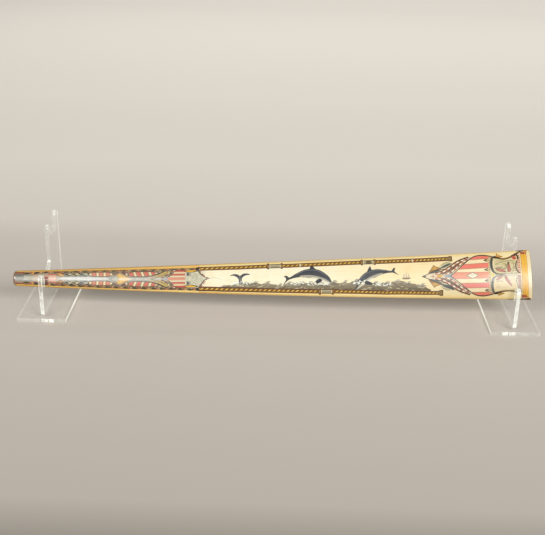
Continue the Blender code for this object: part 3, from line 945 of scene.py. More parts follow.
def paint_great_stripes(art, plate):
    """The great shield's stripes, beside a plain one along its middle with a diamond."""
    for side, drop in ((1, 2.4), (-1, 0.0)):
        flank = Flank(art, side)
        for far, near, rim in GREAT_STRIPES:
            if rim:
                stripe = [(684, far - drop), (748, far), (748, near), (684, near - drop)]
                flank.area(stripe, rim, plate)
                core = [(684, far - drop - 1.1), (746, far - 1.1), (742, near + 1.1),
                        (684, near - drop + 1.1)]
                flank.area(core, (236, 124, 104), plate)
            flank.line([(684, near - drop), (744, near)], 0.6, (168, 104, 80), plate)
    art.area([(684, -5.3), (742, -5.3), (742, 4.7), (684, 4.7)], PINK, plate)
    for v in (-5.3, 4.7):
        art.line([(684, v), (742, v)], 0.6, (196, 132, 112), plate)
    for half_length, half_width, tone in (
            (10.0, 5.4, (150, 144, 116)),
            (7.6, 3.8, (240, 233, 203)),
            (4.0, 2.0, (206, 190, 160)),
            (2.2, 1.0, (238, 226, 196))):
        art.area([(715 - half_length, -0.5), (715, half_width - 0.5), (715 + half_length, -0.5),
                  (715, -half_width - 0.5)], tone, plate)


def paint_great_shield(art):
    """The big striped shield near the wide end, and what borders it."""
    upper, lower = (smooth(halved(GREAT_SHIELD, side)) for side in (1, -1))
    plate = art.area(upper + lower[::-1][:-1], (245, 228, 182))
    paint_great_stripes(art, plate)
    for side, flank in flanks(art):
        for w in (23.4, 8.4):
            bud = [(732.6, w), (736, w + 1.7), (739.4, w + 2.6), (739.4, w - 2.6), (736, w - 1.7)]
            flank.area(bud, (104, 88, 62), hatching=0.4)
            art.area(oval(738.4, axis(739) + side * w, 2.6, 2.4), (176, 162, 106))
            art.area(oval(740.8, axis(741) + side * w, 2.4, 5.6), (188, 168, 96))
    for path in (upper, lower):
        art.stroke(path, (1.2, 1.9), (78, 68, 58), hatching=0.5)
    art.line([(742, -29), (741.4, 0), (742, 29)], 2.8, (216, 194, 138), hatching=0.2)
    for k in range(15):
        art.area(oval(741.8, -27.6 + k * 3.9, 2.2, 2.0),
                 ((138, 110, 92), (150, 140, 160), (176, 150, 80))[k % 3])
    art.area([(743.0, -3.6), (748.0, -3.0), (748.0, 2.4), (743.0, 3.2)], (224, 202, 108))
    for side in (1, -1):
        bulge = halved([(749, 29.0), (745.8, 24), (744.8, 16), (745.8, 9), (748.2, 4.6), (754, 1.4)], side)
        art.line([(x - 1.9, v) for x, v in bulge], 1.2, (176, 166, 138))
        art.line(bulge, (3.3, 3.7), mixed((74, 72, 62), CREAM, 0.0 if side == 1 else 0.12), hatching=0.5)
        art.line([(x + 2.0, v) for x, v in bulge], 0.8, (150, 144, 116))


def paint_panel(art, chance):
    """The panel's ground and its fine grain. Returns its edges and its number."""
    side_curve = [(748.5, 28.6), (753, 28), (758, 26.2), (765, 25.2), (772, 26.6), (780, 29.8), (786, 33)]
    lower_curve = side_curve[:3] + [(766, 25.0), (774, 25.2), (780, 26.6), (786, 29.6)]
    top, bottom = smooth(halved(side_curve, 1)), smooth(halved(lower_curve, -1))

    def parchment(x, v):
        if v > -2:
            return mixed((220, 208, 162), (224, 208, 156), clamped((v - 2) / 18))
        return mixed((230, 216, 184), (238, 216, 164), clamped((-v - 2) / 12))

    panel = art.area(top + bottom[::-1], parchment, hatching=0.35)
    upper_tones = ((168, 152, 108), (222, 208, 160), (158, 146, 106), (196, 180, 132))
    lower_tones = ((206, 190, 150), (222, 200, 160), (214, 180, 156))
    for _ in range(90):
        x, v = chance.uniform(750, 782), chance.uniform(2, 25)
        art.line([(x, v), (x + chance.uniform(2, 7), v + chance.uniform(-1.6, 1.6))],
                 chance.uniform(0.4, 0.8), chance.choice(upper_tones), panel)
    for _ in range(26):
        x, v = chance.uniform(750, 780), chance.uniform(-22, -3)
        art.line([(x, v), (x + chance.uniform(2, 6), v + chance.uniform(-1.2, 1.2))],
                 0.5, chance.choice(lower_tones), panel)
    return top, bottom, panel


def paint_panel_leaves(art, panel):
    """Four red leaves with veins and rims."""
    leaves = (([(751.6, 8.4), (757, 9.8), (763.4, 7.6), (766, 4.4), (758.6, 4.6)], (200, 130, 102)),
              ([(771.4, 18.4), (773.6, 12.4), (774.2, 5.2), (770.2, 4.4), (769.6, 10)], (194, 114, 90)),
              ([(760.6, 0.2), (755, -3.0), (751.4, -8.4), (756.2, -6.8), (761.8, -2.4)], (216, 156, 134)),
              ([(765.0, -2.2), (769, -5.4), (775.0, -17), (771, -14.6), (765.6, -7.4)], (204, 130, 106)))
    for points, colour in leaves:
        leaf = art.blob(points, colour, panel)
        middle = (sum(p[0] for p in points) / len(points), sum(p[1] for p in points) / len(points))
        art.line([points[0], middle, points[len(points) // 2 + 1]], 0.7, (128, 62, 46), leaf)
        rim = smooth(points, closed=True)
        art.stroke(rim + rim[:1], 0.7, (118, 80, 58), panel)
    art.area(sliver(771.5, 18.4, 5.6, 2.4, 96), (80, 60, 46), panel)


def paint_panel_lines(art, panel):
    """Thin curls and folds on the panel."""
    art.line([(750, 10.0), (757, 11.4), (765.6, 9)], 0.9, (96, 78, 56), panel)
    art.line([(771, 20), (769, 15), (766, 9)], 0.9, (96, 84, 60), panel)
    art.line([(751, 16), (757, 19.0), (765, 17.6), (769, 14)], 0.8, (138, 130, 94), panel)
    art.line([(754, 22.6), (763, 20.8), (774, 22.4), (781, 19)], 0.8, (140, 132, 96), panel)
    art.line([(775, 2), (779.6, 8), (779, 17)], 0.8, (140, 132, 98), panel)
    for v, tone in ((1.2, (140, 136, 124)), (-0.6, (190, 182, 168)), (-1.8, (168, 160, 146))):
        art.line([(751, v - 0.8), (762, v + 0.2), (774, v), (787, v + 0.6)], 0.7, tone, panel)
    art.line([(752, -10.8), (757, -9.8), (762, -11.2)], 0.9, (154, 134, 104), panel)
    art.line([(754, -17), (764, -19.4), (776, -18.4)], 0.6, (214, 190, 140), panel)


def paint_cartouche(art, chance):
    """The scrolled panel between the great shield and the gold band."""
    top, bottom, panel = paint_panel(art, chance)
    paint_panel_leaves(art, panel)
    paint_panel_lines(art, panel)
    for side, path, width in ((1, top, (2.2, 3.0)), (-1, bottom, (3.4, 1.6))):
        flank = Flank(art, side)
        flank.line([(745.8, 9.0), (748.2, 4.8), (751.4, 2.2), (757, 1.0), (766, 0.9)], (3.2, 0.7),
                   (82, 82, 74) if side == 1 else (146, 146, 134))
        lobe = halved([(758, 28.6), (764, 27.0), (772, 28.2), (780, 32.2), (786, 35.6), (775, 36),
                       (764, 34.8)], side)
        art.blob(lobe, (248, 228, 174))
        art.stroke(path, width, (98, 66, 34), hatching=0.3)
        art.stroke([(x, v + 0.4) for x, v in path], (0.6, 1.0), (168, 124, 60))
        flank.blob([(748, 29.4), (752, 30.0), (757.6, 28.4), (760, 26.2), (755, 25.6), (749, 26.8)],
                   (62, 46, 30))
        if side == 1:
            flank.line([(777, 28.8), (784, 32.8), (793, 36.6)], (2.4, 2.8), (96, 62, 32))
        peak = 35.6 if side == 1 else 32.6
        flank.area([(753.4, 29), (754.2, peak), (758, 31.2), (764, 29.2), (762, 27.6), (756, 28)],
                   (176, 128, 56))
        flank.area([(754.4, 29.4), (755.0, peak - 2.2), (757.6, 30.2), (761, 28.8)],
                   (226, 180, 92) if side == 1 else (192, 144, 68))


def paint_base_bands(art):
    """The scroll ends, the checked strip, the gold band and the cream margin at the sawn end."""
    for side, flank in flanks(art):
        for k in range(15):
            w = 1.4 + k * 2.0
            fill = ((196, 122, 98), (228, 196, 156), (206, 144, 116), (236, 210, 170))[k % 4]
            tone = fill if side == 1 else mixed(fill, (172, 142, 118), 0.6)
            flank.area([(785.6, w), (789.6, w), (789.6, w + 2.0), (785.6, w + 2.0)], tone, hatching=0.2)
        flank.line([(785.4, 4), (785.8, 18), (787.4, 31)], 0.6, (150, 96, 76))
    art.blob([(778.0, 28.6), (781.6, 29.6), (784.4, 27.0), (783.0, 23.6), (779.0, 23.8)], (198, 96, 80))
    art.stroke([(779.4, 27.2), (782.8, 26.0)], 0.8, (146, 62, 52))
    art.line([(777.0, 29.8), (782.6, 31.6), (786.6, 29.0), (786.6, 24)], (1.4, 3.0), (74, 60, 48))
    art.line([(784.6, 21.6), (782.8, 14.6), (783.6, 7), (788.4, 1.6)], (1.8, 2.2), (84, 72, 60))
    art.line([(787, -1), (783.8, -5), (782.6, -11), (784.6, -18), (787, -23)], (1.2, 2.0), (146, 146, 140))
    art.area([(789.6, -36), (791.6, -36), (791.6, 35), (789.6, 35)], (246, 230, 178))
    art.stroke([(789.6, -34), (789.6, 35)], 0.6, (166, 132, 100))
    art.area([(791.4, -35), (800.4, -35), (800.4, 35), (791.4, 35)], (238, 184, 62), hatching=0.05)
    art.stroke([(791.6, -35), (791.6, 35)], 0.8, (158, 108, 50))
    art.stroke([(796.4, -35), (796.4, 35)], 0.8, (222, 160, 48))
    art.stroke([(800.6, -36), (800.6, 36)], 0.7, (206, 158, 90))
    for side, flank in flanks(art):
        shift = 2.4 if side == 1 else 0.0
        patch = [(790.6 + shift, 31.8), (797.6 + shift, 32.2), (799.6 + shift, 36.0), (789.6 + shift, 36.0)]
        flank.area(patch, (158, 78, 56))
        flank.area([(792.4 + shift, 32.8), (796 + shift, 32.8), (796.4 + shift, 35), (792 + shift, 35)],
                   (192, 96, 76))
        flank.area([(797.6, 32.6), (801.4, 35), (801.4, 37.4), (798.4, 36.6)], (206, 150, 62))
        start, end = (785, 797) if side == 1 else (768, 803.4)
        flank.area([(start, 37.6), (end - 4, 36.8), (end, 36.6), (end + 2, 39.4), (start, 39)],
                   (98, 68, 38))
    art.area([(797, 36.6), (802.4, 36.8), (803, 39.4), (798, 39.4)], (226, 150, 62))


def paint_everything():
    """The whole painting, from the ground up."""
    art = Painting()
    chance = random.Random(11)
    paint_edges(art)
    paint_checked_border(art, chance)
    paint_tip(art)
    paint_leaf_row(art)
    paint_small_shield(art, 55, 68, ((7.2, 5.2, (198, 100, 86)), (5.0, 3.4, (204, 178, 146)),
                                     (3.2, 1.0, (224, 166, 142)), (1.0, 0.0, (232, 208, 180))))
    paint_lenses(art)
    paint_small_shield(art, 239, 271.4, ((13.8, 11.0, (198, 82, 74)), (11.0, 7.8, (226, 200, 158)),
                                         (7.6, 5.0, (200, 104, 84)), (4.8, 2.2, (226, 212, 172)),
                                         (2.0, 0.0, (222, 150, 122))), apex=True)
    paint_arms(art)
    paint_sea(art, chance)
    paint_field(art, chance)
    paint_ropes(art, chance)
    paint_spear(art)
    paint_great_shield(art)
    paint_cartouche(art, chance)
    paint_base_bands(art)
    return art


END_MARGIN = 0.02  # that painted outlines keep from both ends of the face, in millimetres
EDGE_SHARE = 0.9995  # of the half width that they may take up
SAWN_RINGS = (1.0, 0.94, 0.86, 0.74, 0.58, 0.4, 0.2)
TIP_RINGS = (0.85, 0.6, 0.3)


def stations():
    """Places of the mesh's rings: close together in the rounded tip, then even in each strip."""
    rounded = [TIP_ROUNDING / MM * share for share in (0.0, 0.04, 0.12, 0.25, 0.42, 0.64)]
    even = list(np.linspace(0, FACE_LENGTH, STRIPS * STATIONS_PER_STRIP + 1)[1:])
    return rounded + [x for x in even if x >= TIP_ROUNDING / MM]


def unrolled(x, v):
    """A face point as the plane of the triangulation has it: x, and its turn times the half
    width. Points past an edge stop just short of it."""
    share = min(max(v / edge(x), -EDGE_SHARE), EDGE_SHARE)
    return Vector((x, edge(x) * math.asin(share)))


def cut_face(art):
    """Triangles of the painted face. Returns the points as (x, turn), the triangles, each one's
    shape or None, and the numbers of the grid's own points."""
    rings = stations()
    turns = np.linspace(-QUARTER, QUARTER, FRONT_STEPS + 1)
    inputs = [Vector((x, edge(x) * turn)) for x in rings for turn in turns]
    wide = FRONT_STEPS + 1

    def grid(i, k):
        return i * wide + k

    last = len(rings) - 1
    rim = [grid(i, 0) for i in range(last + 1)]
    rim += [grid(last, k) for k in range(1, wide)]
    rim += [grid(i, FRONT_STEPS) for i in range(last - 1, -1, -1)]
    rim += [grid(0, k) for k in range(FRONT_STEPS - 1, 0, -1)]
    seams = []
    for i, x in enumerate(rings):
        strip = x / (FACE_LENGTH / STRIPS)
        if 0 < i < last and abs(strip - round(strip)) < 1e-6:
            seams += [(grid(i, k), grid(i, k + 1)) for k in range(FRONT_STEPS)]
    start = len(inputs)
    inputs += [unrolled(min(max(x, END_MARGIN), FACE_LENGTH - END_MARGIN), v) for x, v in art.corners]
    faces = [rim] + [[start + i for i in cell] for cell in art.cells]
    points, _, triangles, origins, _, owners = delaunay_2d_cdt(inputs, seams, faces, 1, 1e-5, True)
    kept, shapes = [], []
    for triangle, owner in zip(triangles, owners):
        if 0 not in owner:
            continue
        present = {art.cell_shape[k - 1] for k in owner if k > 0}
        shown = [number for number in present if within(art, number, present)]
        kept.append(tuple(triangle))
        shapes.append(max(shown, default=None))
    places = np.array([tuple(p) for p in points])
    grid_points = {}
    for i, origin in enumerate(origins):
        for number in origin:
            if number < start:
                grid_points[number] = i
    halves = half_sizes(places[:, 0])[0] / MM
    places[:, 1] = np.clip(places[:, 1] / halves, -QUARTER, QUARTER)
    return places, kept, shapes, [[grid_points[grid(i, k)] for k in range(wide)] for i in range(last + 1)]


def within(art, number, present):
    """Whether a shape's keepers are all there."""
    keeper = art.inside[number]
    while keeper is not None:
        if keeper not in present:
            return False
        keeper = art.inside[keeper]
    return True


def make_bill_mesh(art):
    """One closed mesh: the painted face, the bare back, the domed tip and the sawn end."""
    places, triangles, shapes, grid = cut_face(art)
    rings = stations()
    points = list(surface(places[:, 0], places[:, 1]))
    where = [tuple(p) for p in places]
    faces, kinds = list(triangles), ["front"] * len(triangles)

    def add(point, x, turn):
        points.append(np.asarray(point))
        where.append((x, turn))
        return len(points) - 1

    back_turns = np.linspace(QUARTER, 3 * QUARTER, BACK_STEPS + 1)[1:-1]
    loops = []
    for x, row in zip(rings, grid):
        behind = [add(surface(x, turn)[0], x, turn) for turn in back_turns]
        loops.append(row + behind)
    for near, far in zip(loops, loops[1:]):
        around = len(near)
        for k in range(FRONT_STEPS, around):
            j = (k + 1) % around
            faces.append((near[k], far[k], far[j], near[j]))
            kinds.append("back")

    def close(loop, x, inset, shares, dome, kind):
        """Fills one end with smaller and smaller rings."""
        centre = bill_middle(x)[0]
        turns = [where[i][1] for i in loop]
        outer = surface(x, np.array(turns), inset)
        count = len(loop)
        before = loop
        for share in shares:
            bulge = np.array((dome * (1 - share**2), 0, 0))
            ring = [add(centre + (p - centre) * share + bulge, x, t) for p, t in zip(outer, turns)]
            for k in range(count):
                j = (k + 1) % count
                quad = (before[k], ring[k], ring[j], before[j])
                faces.append(quad if kind == "sawn" else quad[::-1])
                kinds.append(kind)
            before = ring
        hub = add(centre + np.array((dome, 0, 0)), x, 0.0)
        for k in range(count):
            j = (k + 1) % count
            faces.append((before[k], hub, before[j]) if kind == "sawn" else (before[j], hub, before[k]))
            kinds.append(kind)

    close(loops[-1], BILL_LENGTH / MM, SAWN_EDGE, SAWN_RINGS, 0.0, "sawn")
    close(loops[0], 0.0, 0.0, TIP_RINGS, -TIP_DOME, "tip")
    mesh = bpy.data.meshes.new("painted_bill")
    mesh.from_pydata([tuple(p) for p in points], [], faces)
    return mesh, np.array(where), kinds, shapes


NEAREST_NORMAL = 0.3  # millimetres from the tip, the nearest place with a clear slope
TIP_FACING = 0.65  # how far the tip's shading looks straight out of its end


def set_corner_data(mesh, where, kinds, shapes, art):
    """Colours, hatching, finish, normals and the UV map, all by face corner."""
    corner_vertex = np.empty(len(mesh.loops), dtype=int)
    mesh.loops.foreach_get("vertex_index", corner_vertex)
    x, turn = where[corner_vertex].T
    v = half_sizes(x)[0] / MM * np.sin(turn)
    starts = np.empty(len(mesh.polygons), dtype=int)
    sizes = np.empty(len(mesh.polygons), dtype=int)
    mesh.polygons.foreach_get("loop_start", starts)
    mesh.polygons.foreach_get("loop_total", sizes)
    kind = np.repeat(np.array(kinds), sizes)
    colour = np.ones((len(x), 4))
    hatch = np.zeros(len(x))
    bare = np.zeros(len(x))
    for face, number in enumerate(shapes):
        for corner in range(starts[face], starts[face] + sizes[face]):
            fill = ground_fill if number is None else art.fills[number]
            here = fill(x[corner], v[corner]) if callable(fill) else fill
            # Painted shade: the paint on the lower side of the wide end is darkened.
            lower = clamped((x[corner] - SHADE_START) / SHADE_LENGTH) * clamped(-v[corner] / SHADE_REACH)
            colour[corner, :3] = linear(here) * PAINT_STRENGTH * (1 - LOWER_PAINTED_SHADE * lower)
            hatch[corner] = GROUND_HATCHING if number is None else art.hatching[number]
    behind = kind != "front"
    deep = np.clip(-np.cos(turn[behind]), 0, 1)[:, None]
    rim, plain = linear(LIGHT_GOLD), linear(BARE)
    colour[behind, :3] = rim + (plain - rim) * np.clip(deep * 5, 0, 1)
    colour[kind == "sawn", :3] = linear(SAWN)
    colour[kind == "tip", :3] = linear(BARE_TIP)
    bare[behind] = 1.0
    coords = np.empty(len(mesh.vertices) * 3)
    mesh.vertices.foreach_get("co", coords)
    position = coords.reshape(-1, 3)[corner_vertex]
    from_middle = (position - bill_middle(x)) / MM
    up, out = from_middle @ UP_FACE, from_middle @ OUT_OF_FACE
    place = np.column_stack((x, up, out))
    normals = surface_normals(np.clip(x, NEAREST_NORMAL, FACE_LENGTH), turn)
    normals[kind == "sawn"] = (1, 0, 0)
    normals[kind == "tip"] = normals[kind == "tip"] * (1 - TIP_FACING) + np.array((-TIP_FACING, 0, 0))
    normals /= np.linalg.norm(normals, axis=1)[:, None]
    mesh.color_attributes.new("paint", "FLOAT_COLOR", "CORNER").data.foreach_set("color", colour.ravel())
    for name, values in (("hatching", hatch), ("bare", bare), ("sawn", (kind == "sawn").astype(float))):
        mesh.attributes.new(name, "FLOAT", "CORNER").data.foreach_set("value", values)
    mesh.attributes.new("place", "FLOAT_VECTOR", "CORNER").data.foreach_set("vector", place.ravel())
    unwrapped = bake_map(x, turn, up, out, kind, starts, sizes)
    mesh.uv_layers.new(name="OFBake").uv.foreach_set("vector", unwrapped.ravel())
    mesh.polygons.foreach_set("use_smooth", np.ones(len(mesh.polygons), dtype=bool))
    mesh.normals_split_custom_set(normals.tolist())


MAP_SIDE = 276.0  # of the whole UV map, in the face's millimetres
MAP_MARGIN = 2.0
BACK_ACROSS = 16  # middle lines of the back and both ends, from the face's strips
SAWN_ACROSS = 44
TIP_ACROSS = 58
ENDS_UP = 20


def bake_map(x, turn, up, out, kind, starts, sizes):
    """The face in four strips on top of each other, and beside them the back and both ends."""
    uv = np.zeros((len(x), 2))
    middles = np.array([x[s:s + n].mean() for s, n in zip(starts, sizes)])
    strip = np.repeat(np.clip((middles / (FACE_LENGTH / STRIPS)).astype(int), 0, STRIPS - 1), sizes)
    ends = (np.arange(STRIPS) + 1) * FACE_LENGTH / STRIPS
    widths = np.array([2 * float(arc_length(np.array([e]), np.array([QUARTER]))[0]) for e in ends])
    lows = np.concatenate(([0], np.cumsum(widths + MAP_MARGIN)[:-1])) + MAP_MARGIN
    front = kind == "front"
    arc = arc_length(x, turn)
    uv[front, 0] = MAP_MARGIN + (x - strip * FACE_LENGTH / STRIPS)[front]
    uv[front, 1] = (lows[strip] + widths[strip] / 2 + arc)[front]
    side = FACE_LENGTH / STRIPS + 2 * MAP_MARGIN
    back = kind == "back"
    small = (MAP_SIDE - 2 * MAP_MARGIN) / FACE_LENGTH
    whole = arc_length(x, np.full_like(x, math.pi))
    wrapped = np.where(turn < 0, turn + 2 * math.pi, turn)
    behind = arc_length(x, wrapped) - whole
    uv[back, 0] = side + BACK_ACROSS + behind[back] * small
    uv[back, 1] = MAP_MARGIN + x[back] * small
    for name, across, scale in (("sawn", SAWN_ACROSS, small), ("tip", TIP_ACROSS, 1.0)):
        here = kind == name
        uv[here, 0] = side + across + out[here] * scale
        uv[here, 1] = ENDS_UP + up[here] * scale
    return uv / MAP_SIDE


class Shading:
    """A new material, with short ways to add the nodes that shade it."""

    def __init__(self, name):
        self.material = bpy.data.materials.new(name)
        self.material.use_nodes = True
        self.tree = self.material.node_tree

    def feed(self, node, inputs):
        """Gives a node inputs, each one a value or another node's output."""
        for name, value in inputs.items():
            if isinstance(value, bpy.types.NodeSocket):
                self.tree.links.new(value, node.inputs[name])
            else:
                node.inputs[name].default_value = value

    def node(self, kind, inputs=None, **settings):
        """A new node with these inputs and settings."""
        node = self.tree.nodes.new(kind)
        for name, value in settings.items():
            setattr(node, name, value)
        self.feed(node, inputs or {})
        return node

    def finished(self, inputs):
        """The material, once its shader has these inputs."""
        self.feed(self.tree.nodes["Principled BSDF"], inputs)
        return self.material

    def math(self, operation, a, b=0.0):
        return self.node("ShaderNodeMath", {0: a, 1: b}, operation=operation).outputs[0]

    def plus(self, a, b):
        return self.math("ADD", a, b)

    def minus(self, a, b):
        return self.math("SUBTRACT", a, b)

    def times(self, a, b):
        return self.math("MULTIPLY", a, b)

    def size(self, value):
        return self.math("ABSOLUTE", value)

    def highest(self, *values):
        top = values[0]
        for value in values[1:]:
            top = self.math("MAXIMUM", top, value)
        return top

    def ranged(self, value, low, high, to_low=0.0, to_high=1.0):
        """The value's way from low to high, as a way between the other two."""
        inputs = {"Value": value, "From Min": low, "From Max": high, "To Min": to_low, "To Max": to_high}
        return self.node("ShaderNodeMapRange", inputs).outputs[0]

    def near(self, value, middle, reach, fading):
        """1 within reach of the middle, and 0 past the fading round it."""
        return self.ranged(self.size(self.minus(value, middle)), reach + fading, reach)

    def between(self, share, low, high):
        """A mix of two numbers."""
        inputs = {0: share, 2: low, 3: high}
        return self.node("ShaderNodeMix", inputs, data_type="FLOAT").outputs[0]

    def tinted(self, share, a, b, blend="MIX"):
        """A mix of two colours."""
        inputs = {0: share, 6: a, 7: b}
        return self.node("ShaderNodeMix", inputs, data_type="RGBA", blend_type=blend).outputs[2]

    def split(self, vector):
        """A vector's three numbers, to be picked by the name of their axis."""
        return self.node("ShaderNodeSeparateXYZ", {0: vector}).outputs

    def noise(self, vector, scale, detail=3.0, roughness=0.5, stretch=(1, 1, 1)):
        moved = self.node("ShaderNodeMapping", {"Vector": vector, "Scale": stretch}).outputs[0]
        inputs = {"Vector": moved, "Scale": scale, "Detail": detail, "Roughness": roughness}
        return self.node("ShaderNodeTexNoise", inputs).outputs["Fac"]

    def cells(self, vector, scale):
        """Distances from scattered points."""
        return self.node("ShaderNodeTexVoronoi", {"Vector": vector, "Scale": scale}).outputs["Distance"]

    def attribute(self, name, output="Fac"):
        return self.node("ShaderNodeAttribute", attribute_name=name).outputs[output]


def rgba(colour):
    """A colour as a node's input wants it."""
    return (*linear(colour), 1.0)


HATCHING_SLANT = math.radians(38)


def make_bill_material():
    """Polished bill with translucent inks: fine lengthwise grain, engraved hatching in the darker
    paint, yellowing, and open pores on the sawn end."""
    g = Shading("painted_polished_bill")
    place = g.attribute("place", "Vector")
    hatching, bare, sawn = (g.attribute(name) for name in ("hatching", "bare", "sawn"))
    colour = g.attribute("paint", "Color")

    grain = g.noise(place, 1.0, 4.0, 0.6, (0.035, 1.3, 1.3))
    cloud = g.noise(place, 0.06, 3.0, 0.55)
    speckle = g.noise(place, 1.7, 2.0, 0.6)
    for pattern, low, high, share, tone in (
            (grain, 0.52, 0.72, 0.22, (176, 132, 74)),
            (cloud, 0.5, 0.75, 0.25, (250, 222, 160)),
            (speckle, 0.55, 0.75, 0.16, (140, 112, 84))):
        colour = g.tinted(g.ranged(pattern, low, high, 0.0, share), colour, rgba(tone), "MULTIPLY")

    turned = g.node("ShaderNodeMapping", {"Vector": place, "Rotation": (0, 0, HATCHING_SLANT)}).outputs[0]
    lines = g.node("ShaderNodeTexWave", {
        "Vector": turned, "Scale": 0.42, "Distortion": 1.6, "Detail": 2.0, "Detail Scale": 1.2,
    }).outputs["Fac"]
    streak = g.noise(place, 1.0, 5.0, 0.65, (0.02, 0.5, 0.5))
    strokes = g.times(g.ranged(lines, 0.55, 0.95), hatching)
    stipple = g.times(g.ranged(g.cells(place, 0.9), 0.26, 0.12), hatching)
    aged = g.times(g.ranged(streak, 0.45, 0.7), bare)
    pores = g.times(g.ranged(g.cells(place, 1.1), 0.34, 0.16), sawn)
    for pattern, share, tone in (
            (strokes, 0.6, (48, 38, 30)),
            (stipple, 0.5, (40, 34, 30)),
            (aged, 0.4, (190, 148, 90)),
            (pores, 0.85, (92, 66, 40))):
        colour = g.tinted(g.times(pattern, share), colour, rgba(tone))

    gloss = g.ranged(cloud, 0.3, 0.75, 0.26, 0.38)
    gloss = g.plus(g.plus(gloss, g.times(bare, 0.08)), g.times(sawn, 0.2))
    height = g.minus(g.times(grain, 0.5), g.times(strokes, 0.6))
    height = g.minus(height, g.times(pores, 4.0))
    bump = g.node("ShaderNodeBump", {"Height": height, "Strength": 0.35, "Distance": 0.12 * MM})
    return g.finished({
        "Base Color": colour, "Roughness": gloss, "Normal": bump.outputs[0], "Specular IOR Level": 0.42,
        "Coat Weight": 0.08, "Coat Roughness": 0.14, "IOR": 1.5,
    })


# Painted light in the stands' cut edges: a whitish cover and a glow from emission stand for the
# light the acrylic gathers. Places are in metres in the object's frame, and those inward are
# from a stand's own middle towards the object's.
PAINTED_EDGE_GLOW = {"X": 0.32, "Z": 0.46}  # strength of the painted glow, by the axis that the sheet's faces look along
PLATE_HALF_WIDTH = 0.0381
PLATE_FRONT_Y = -0.076
PLATE_PAINTED_LIGHT_Y = (-0.05, 0.0)  # where the long edge is painted brighter
PLATE_HIGHLIGHT_SPOTS = ((0.0055, 0.0045, 0.001), (0.0165, 0.0035, 0.002))  # painted highlights beside the feet; inward: middle, reach, fading
SHEET_BORDERS = (0.0014, 0.0024)  # from the sheet's middle
OVER_BILL_Z = (0.0585, 0.0125, 0.002)  # stretch of the prong in front of the bill
PRONG_FOOT_Z = (0.008, 0.004, 0.004)
SEAT_TO_PRONG_Y = (-0.052, -0.058)
FINGER_TO_SEAT_Y = (-0.0035, -0.0065)
FOOT_RIM_Z = 0.0071
REAR_RIM_Y = 0.0634
# where the fingers' tops get a painted highlight
FINGER_TOP_HIGHLIGHT_Z = (0.128, 0.1295)
BEND_Y = -0.0022  # of the painted highlight in the inner corner between the seat and the middle finger
BEND_Z = 0.0716


def plate_filling(g, y, inward, mottle):
    """How much a base plate's cut edges cover with their whitish, glowing colour, which is painted
    light: faint all round, with painted highlights beside the foot and a painted bright long edge
    towards the object's middle."""
    spots = g.highest(*(g.near(inward, *spot) for spot in PLATE_HIGHLIGHT_SPOTS))
    foot = g.times(spots, g.near(y, PLATE_FRONT_Y, 0.004, 0.001))
    long_edge = g.between(g.ranged(y, *PLATE_PAINTED_LIGHT_Y), 0.85, 0.98)
    return g.highest(
        g.between(mottle, 0.14, 0.23),
        g.between(g.near(inward, PLATE_HALF_WIDTH, 0.0002, 0.0001), 0, long_edge),
        g.times(foot, g.between(mottle, 0.4, 0.85)))


def upright_filling(g, y, z, across, inward, mottle):
    """How much an upright's cut edges cover with their whitish, glowing colour, which is painted light:
    most in the prong and its borders, less in the seat, little in the fingers, and most again in thin
    painted highlights at the foot, the tops and the bend."""
    borders = g.ranged(g.size(inward), *SHEET_BORDERS)
    right_hand = g.ranged(across, -0.1, 0.1)
    inside = g.between(g.near(z, *OVER_BILL_Z), g.between(mottle, 0.25, 0.6),
                       g.between(right_hand, 0.12, 0.7))
    prong = g.between(borders, inside, g.between(mottle, 0.6, 0.8))
    prong = g.between(g.near(z, *PRONG_FOOT_Z), prong, 0.85)
    seat = g.between(borders, g.between(mottle, 0.2, 0.4), 0.65)
    finger = g.between(borders, g.between(mottle, 0.05, 0.14), g.between(mottle, 0.14, 0.26))
    filled = g.between(g.ranged(y, *FINGER_TO_SEAT_Y), finger, seat)
    filled = g.between(g.ranged(y, *SEAT_TO_PRONG_Y), filled, prong)

    low_rim = g.between(g.ranged(inward, -0.0006, 0.0006), 0.08, 0.9)
    rear_rim = g.between(g.ranged(inward, 0.001, 0.002), 0.05, 0.8)
    rims = g.highest(g.between(g.near(z, FOOT_RIM_Z, 0.0003, 0.0002), 0, low_rim),
                     g.between(g.near(y, REAR_RIM_Y, 0.0003, 0.0002), 0, rear_rim))
    filled = g.between(g.ranged(rims, 0.0, 0.03), filled, rims)
    tops = g.times(g.ranged(z, *FINGER_TOP_HIGHLIGHT_Z), g.between(mottle, 0.1, 0.65))
    bend = g.times(g.near(inward, 0.0, 0.0016, 0.0006), g.near(z, BEND_Z, 0.0016, 0.001))
    bend = g.times(bend, g.near(y, BEND_Y, 0.0012, 0.001))
    return g.highest(filled, tops, g.times(bend, 0.9))


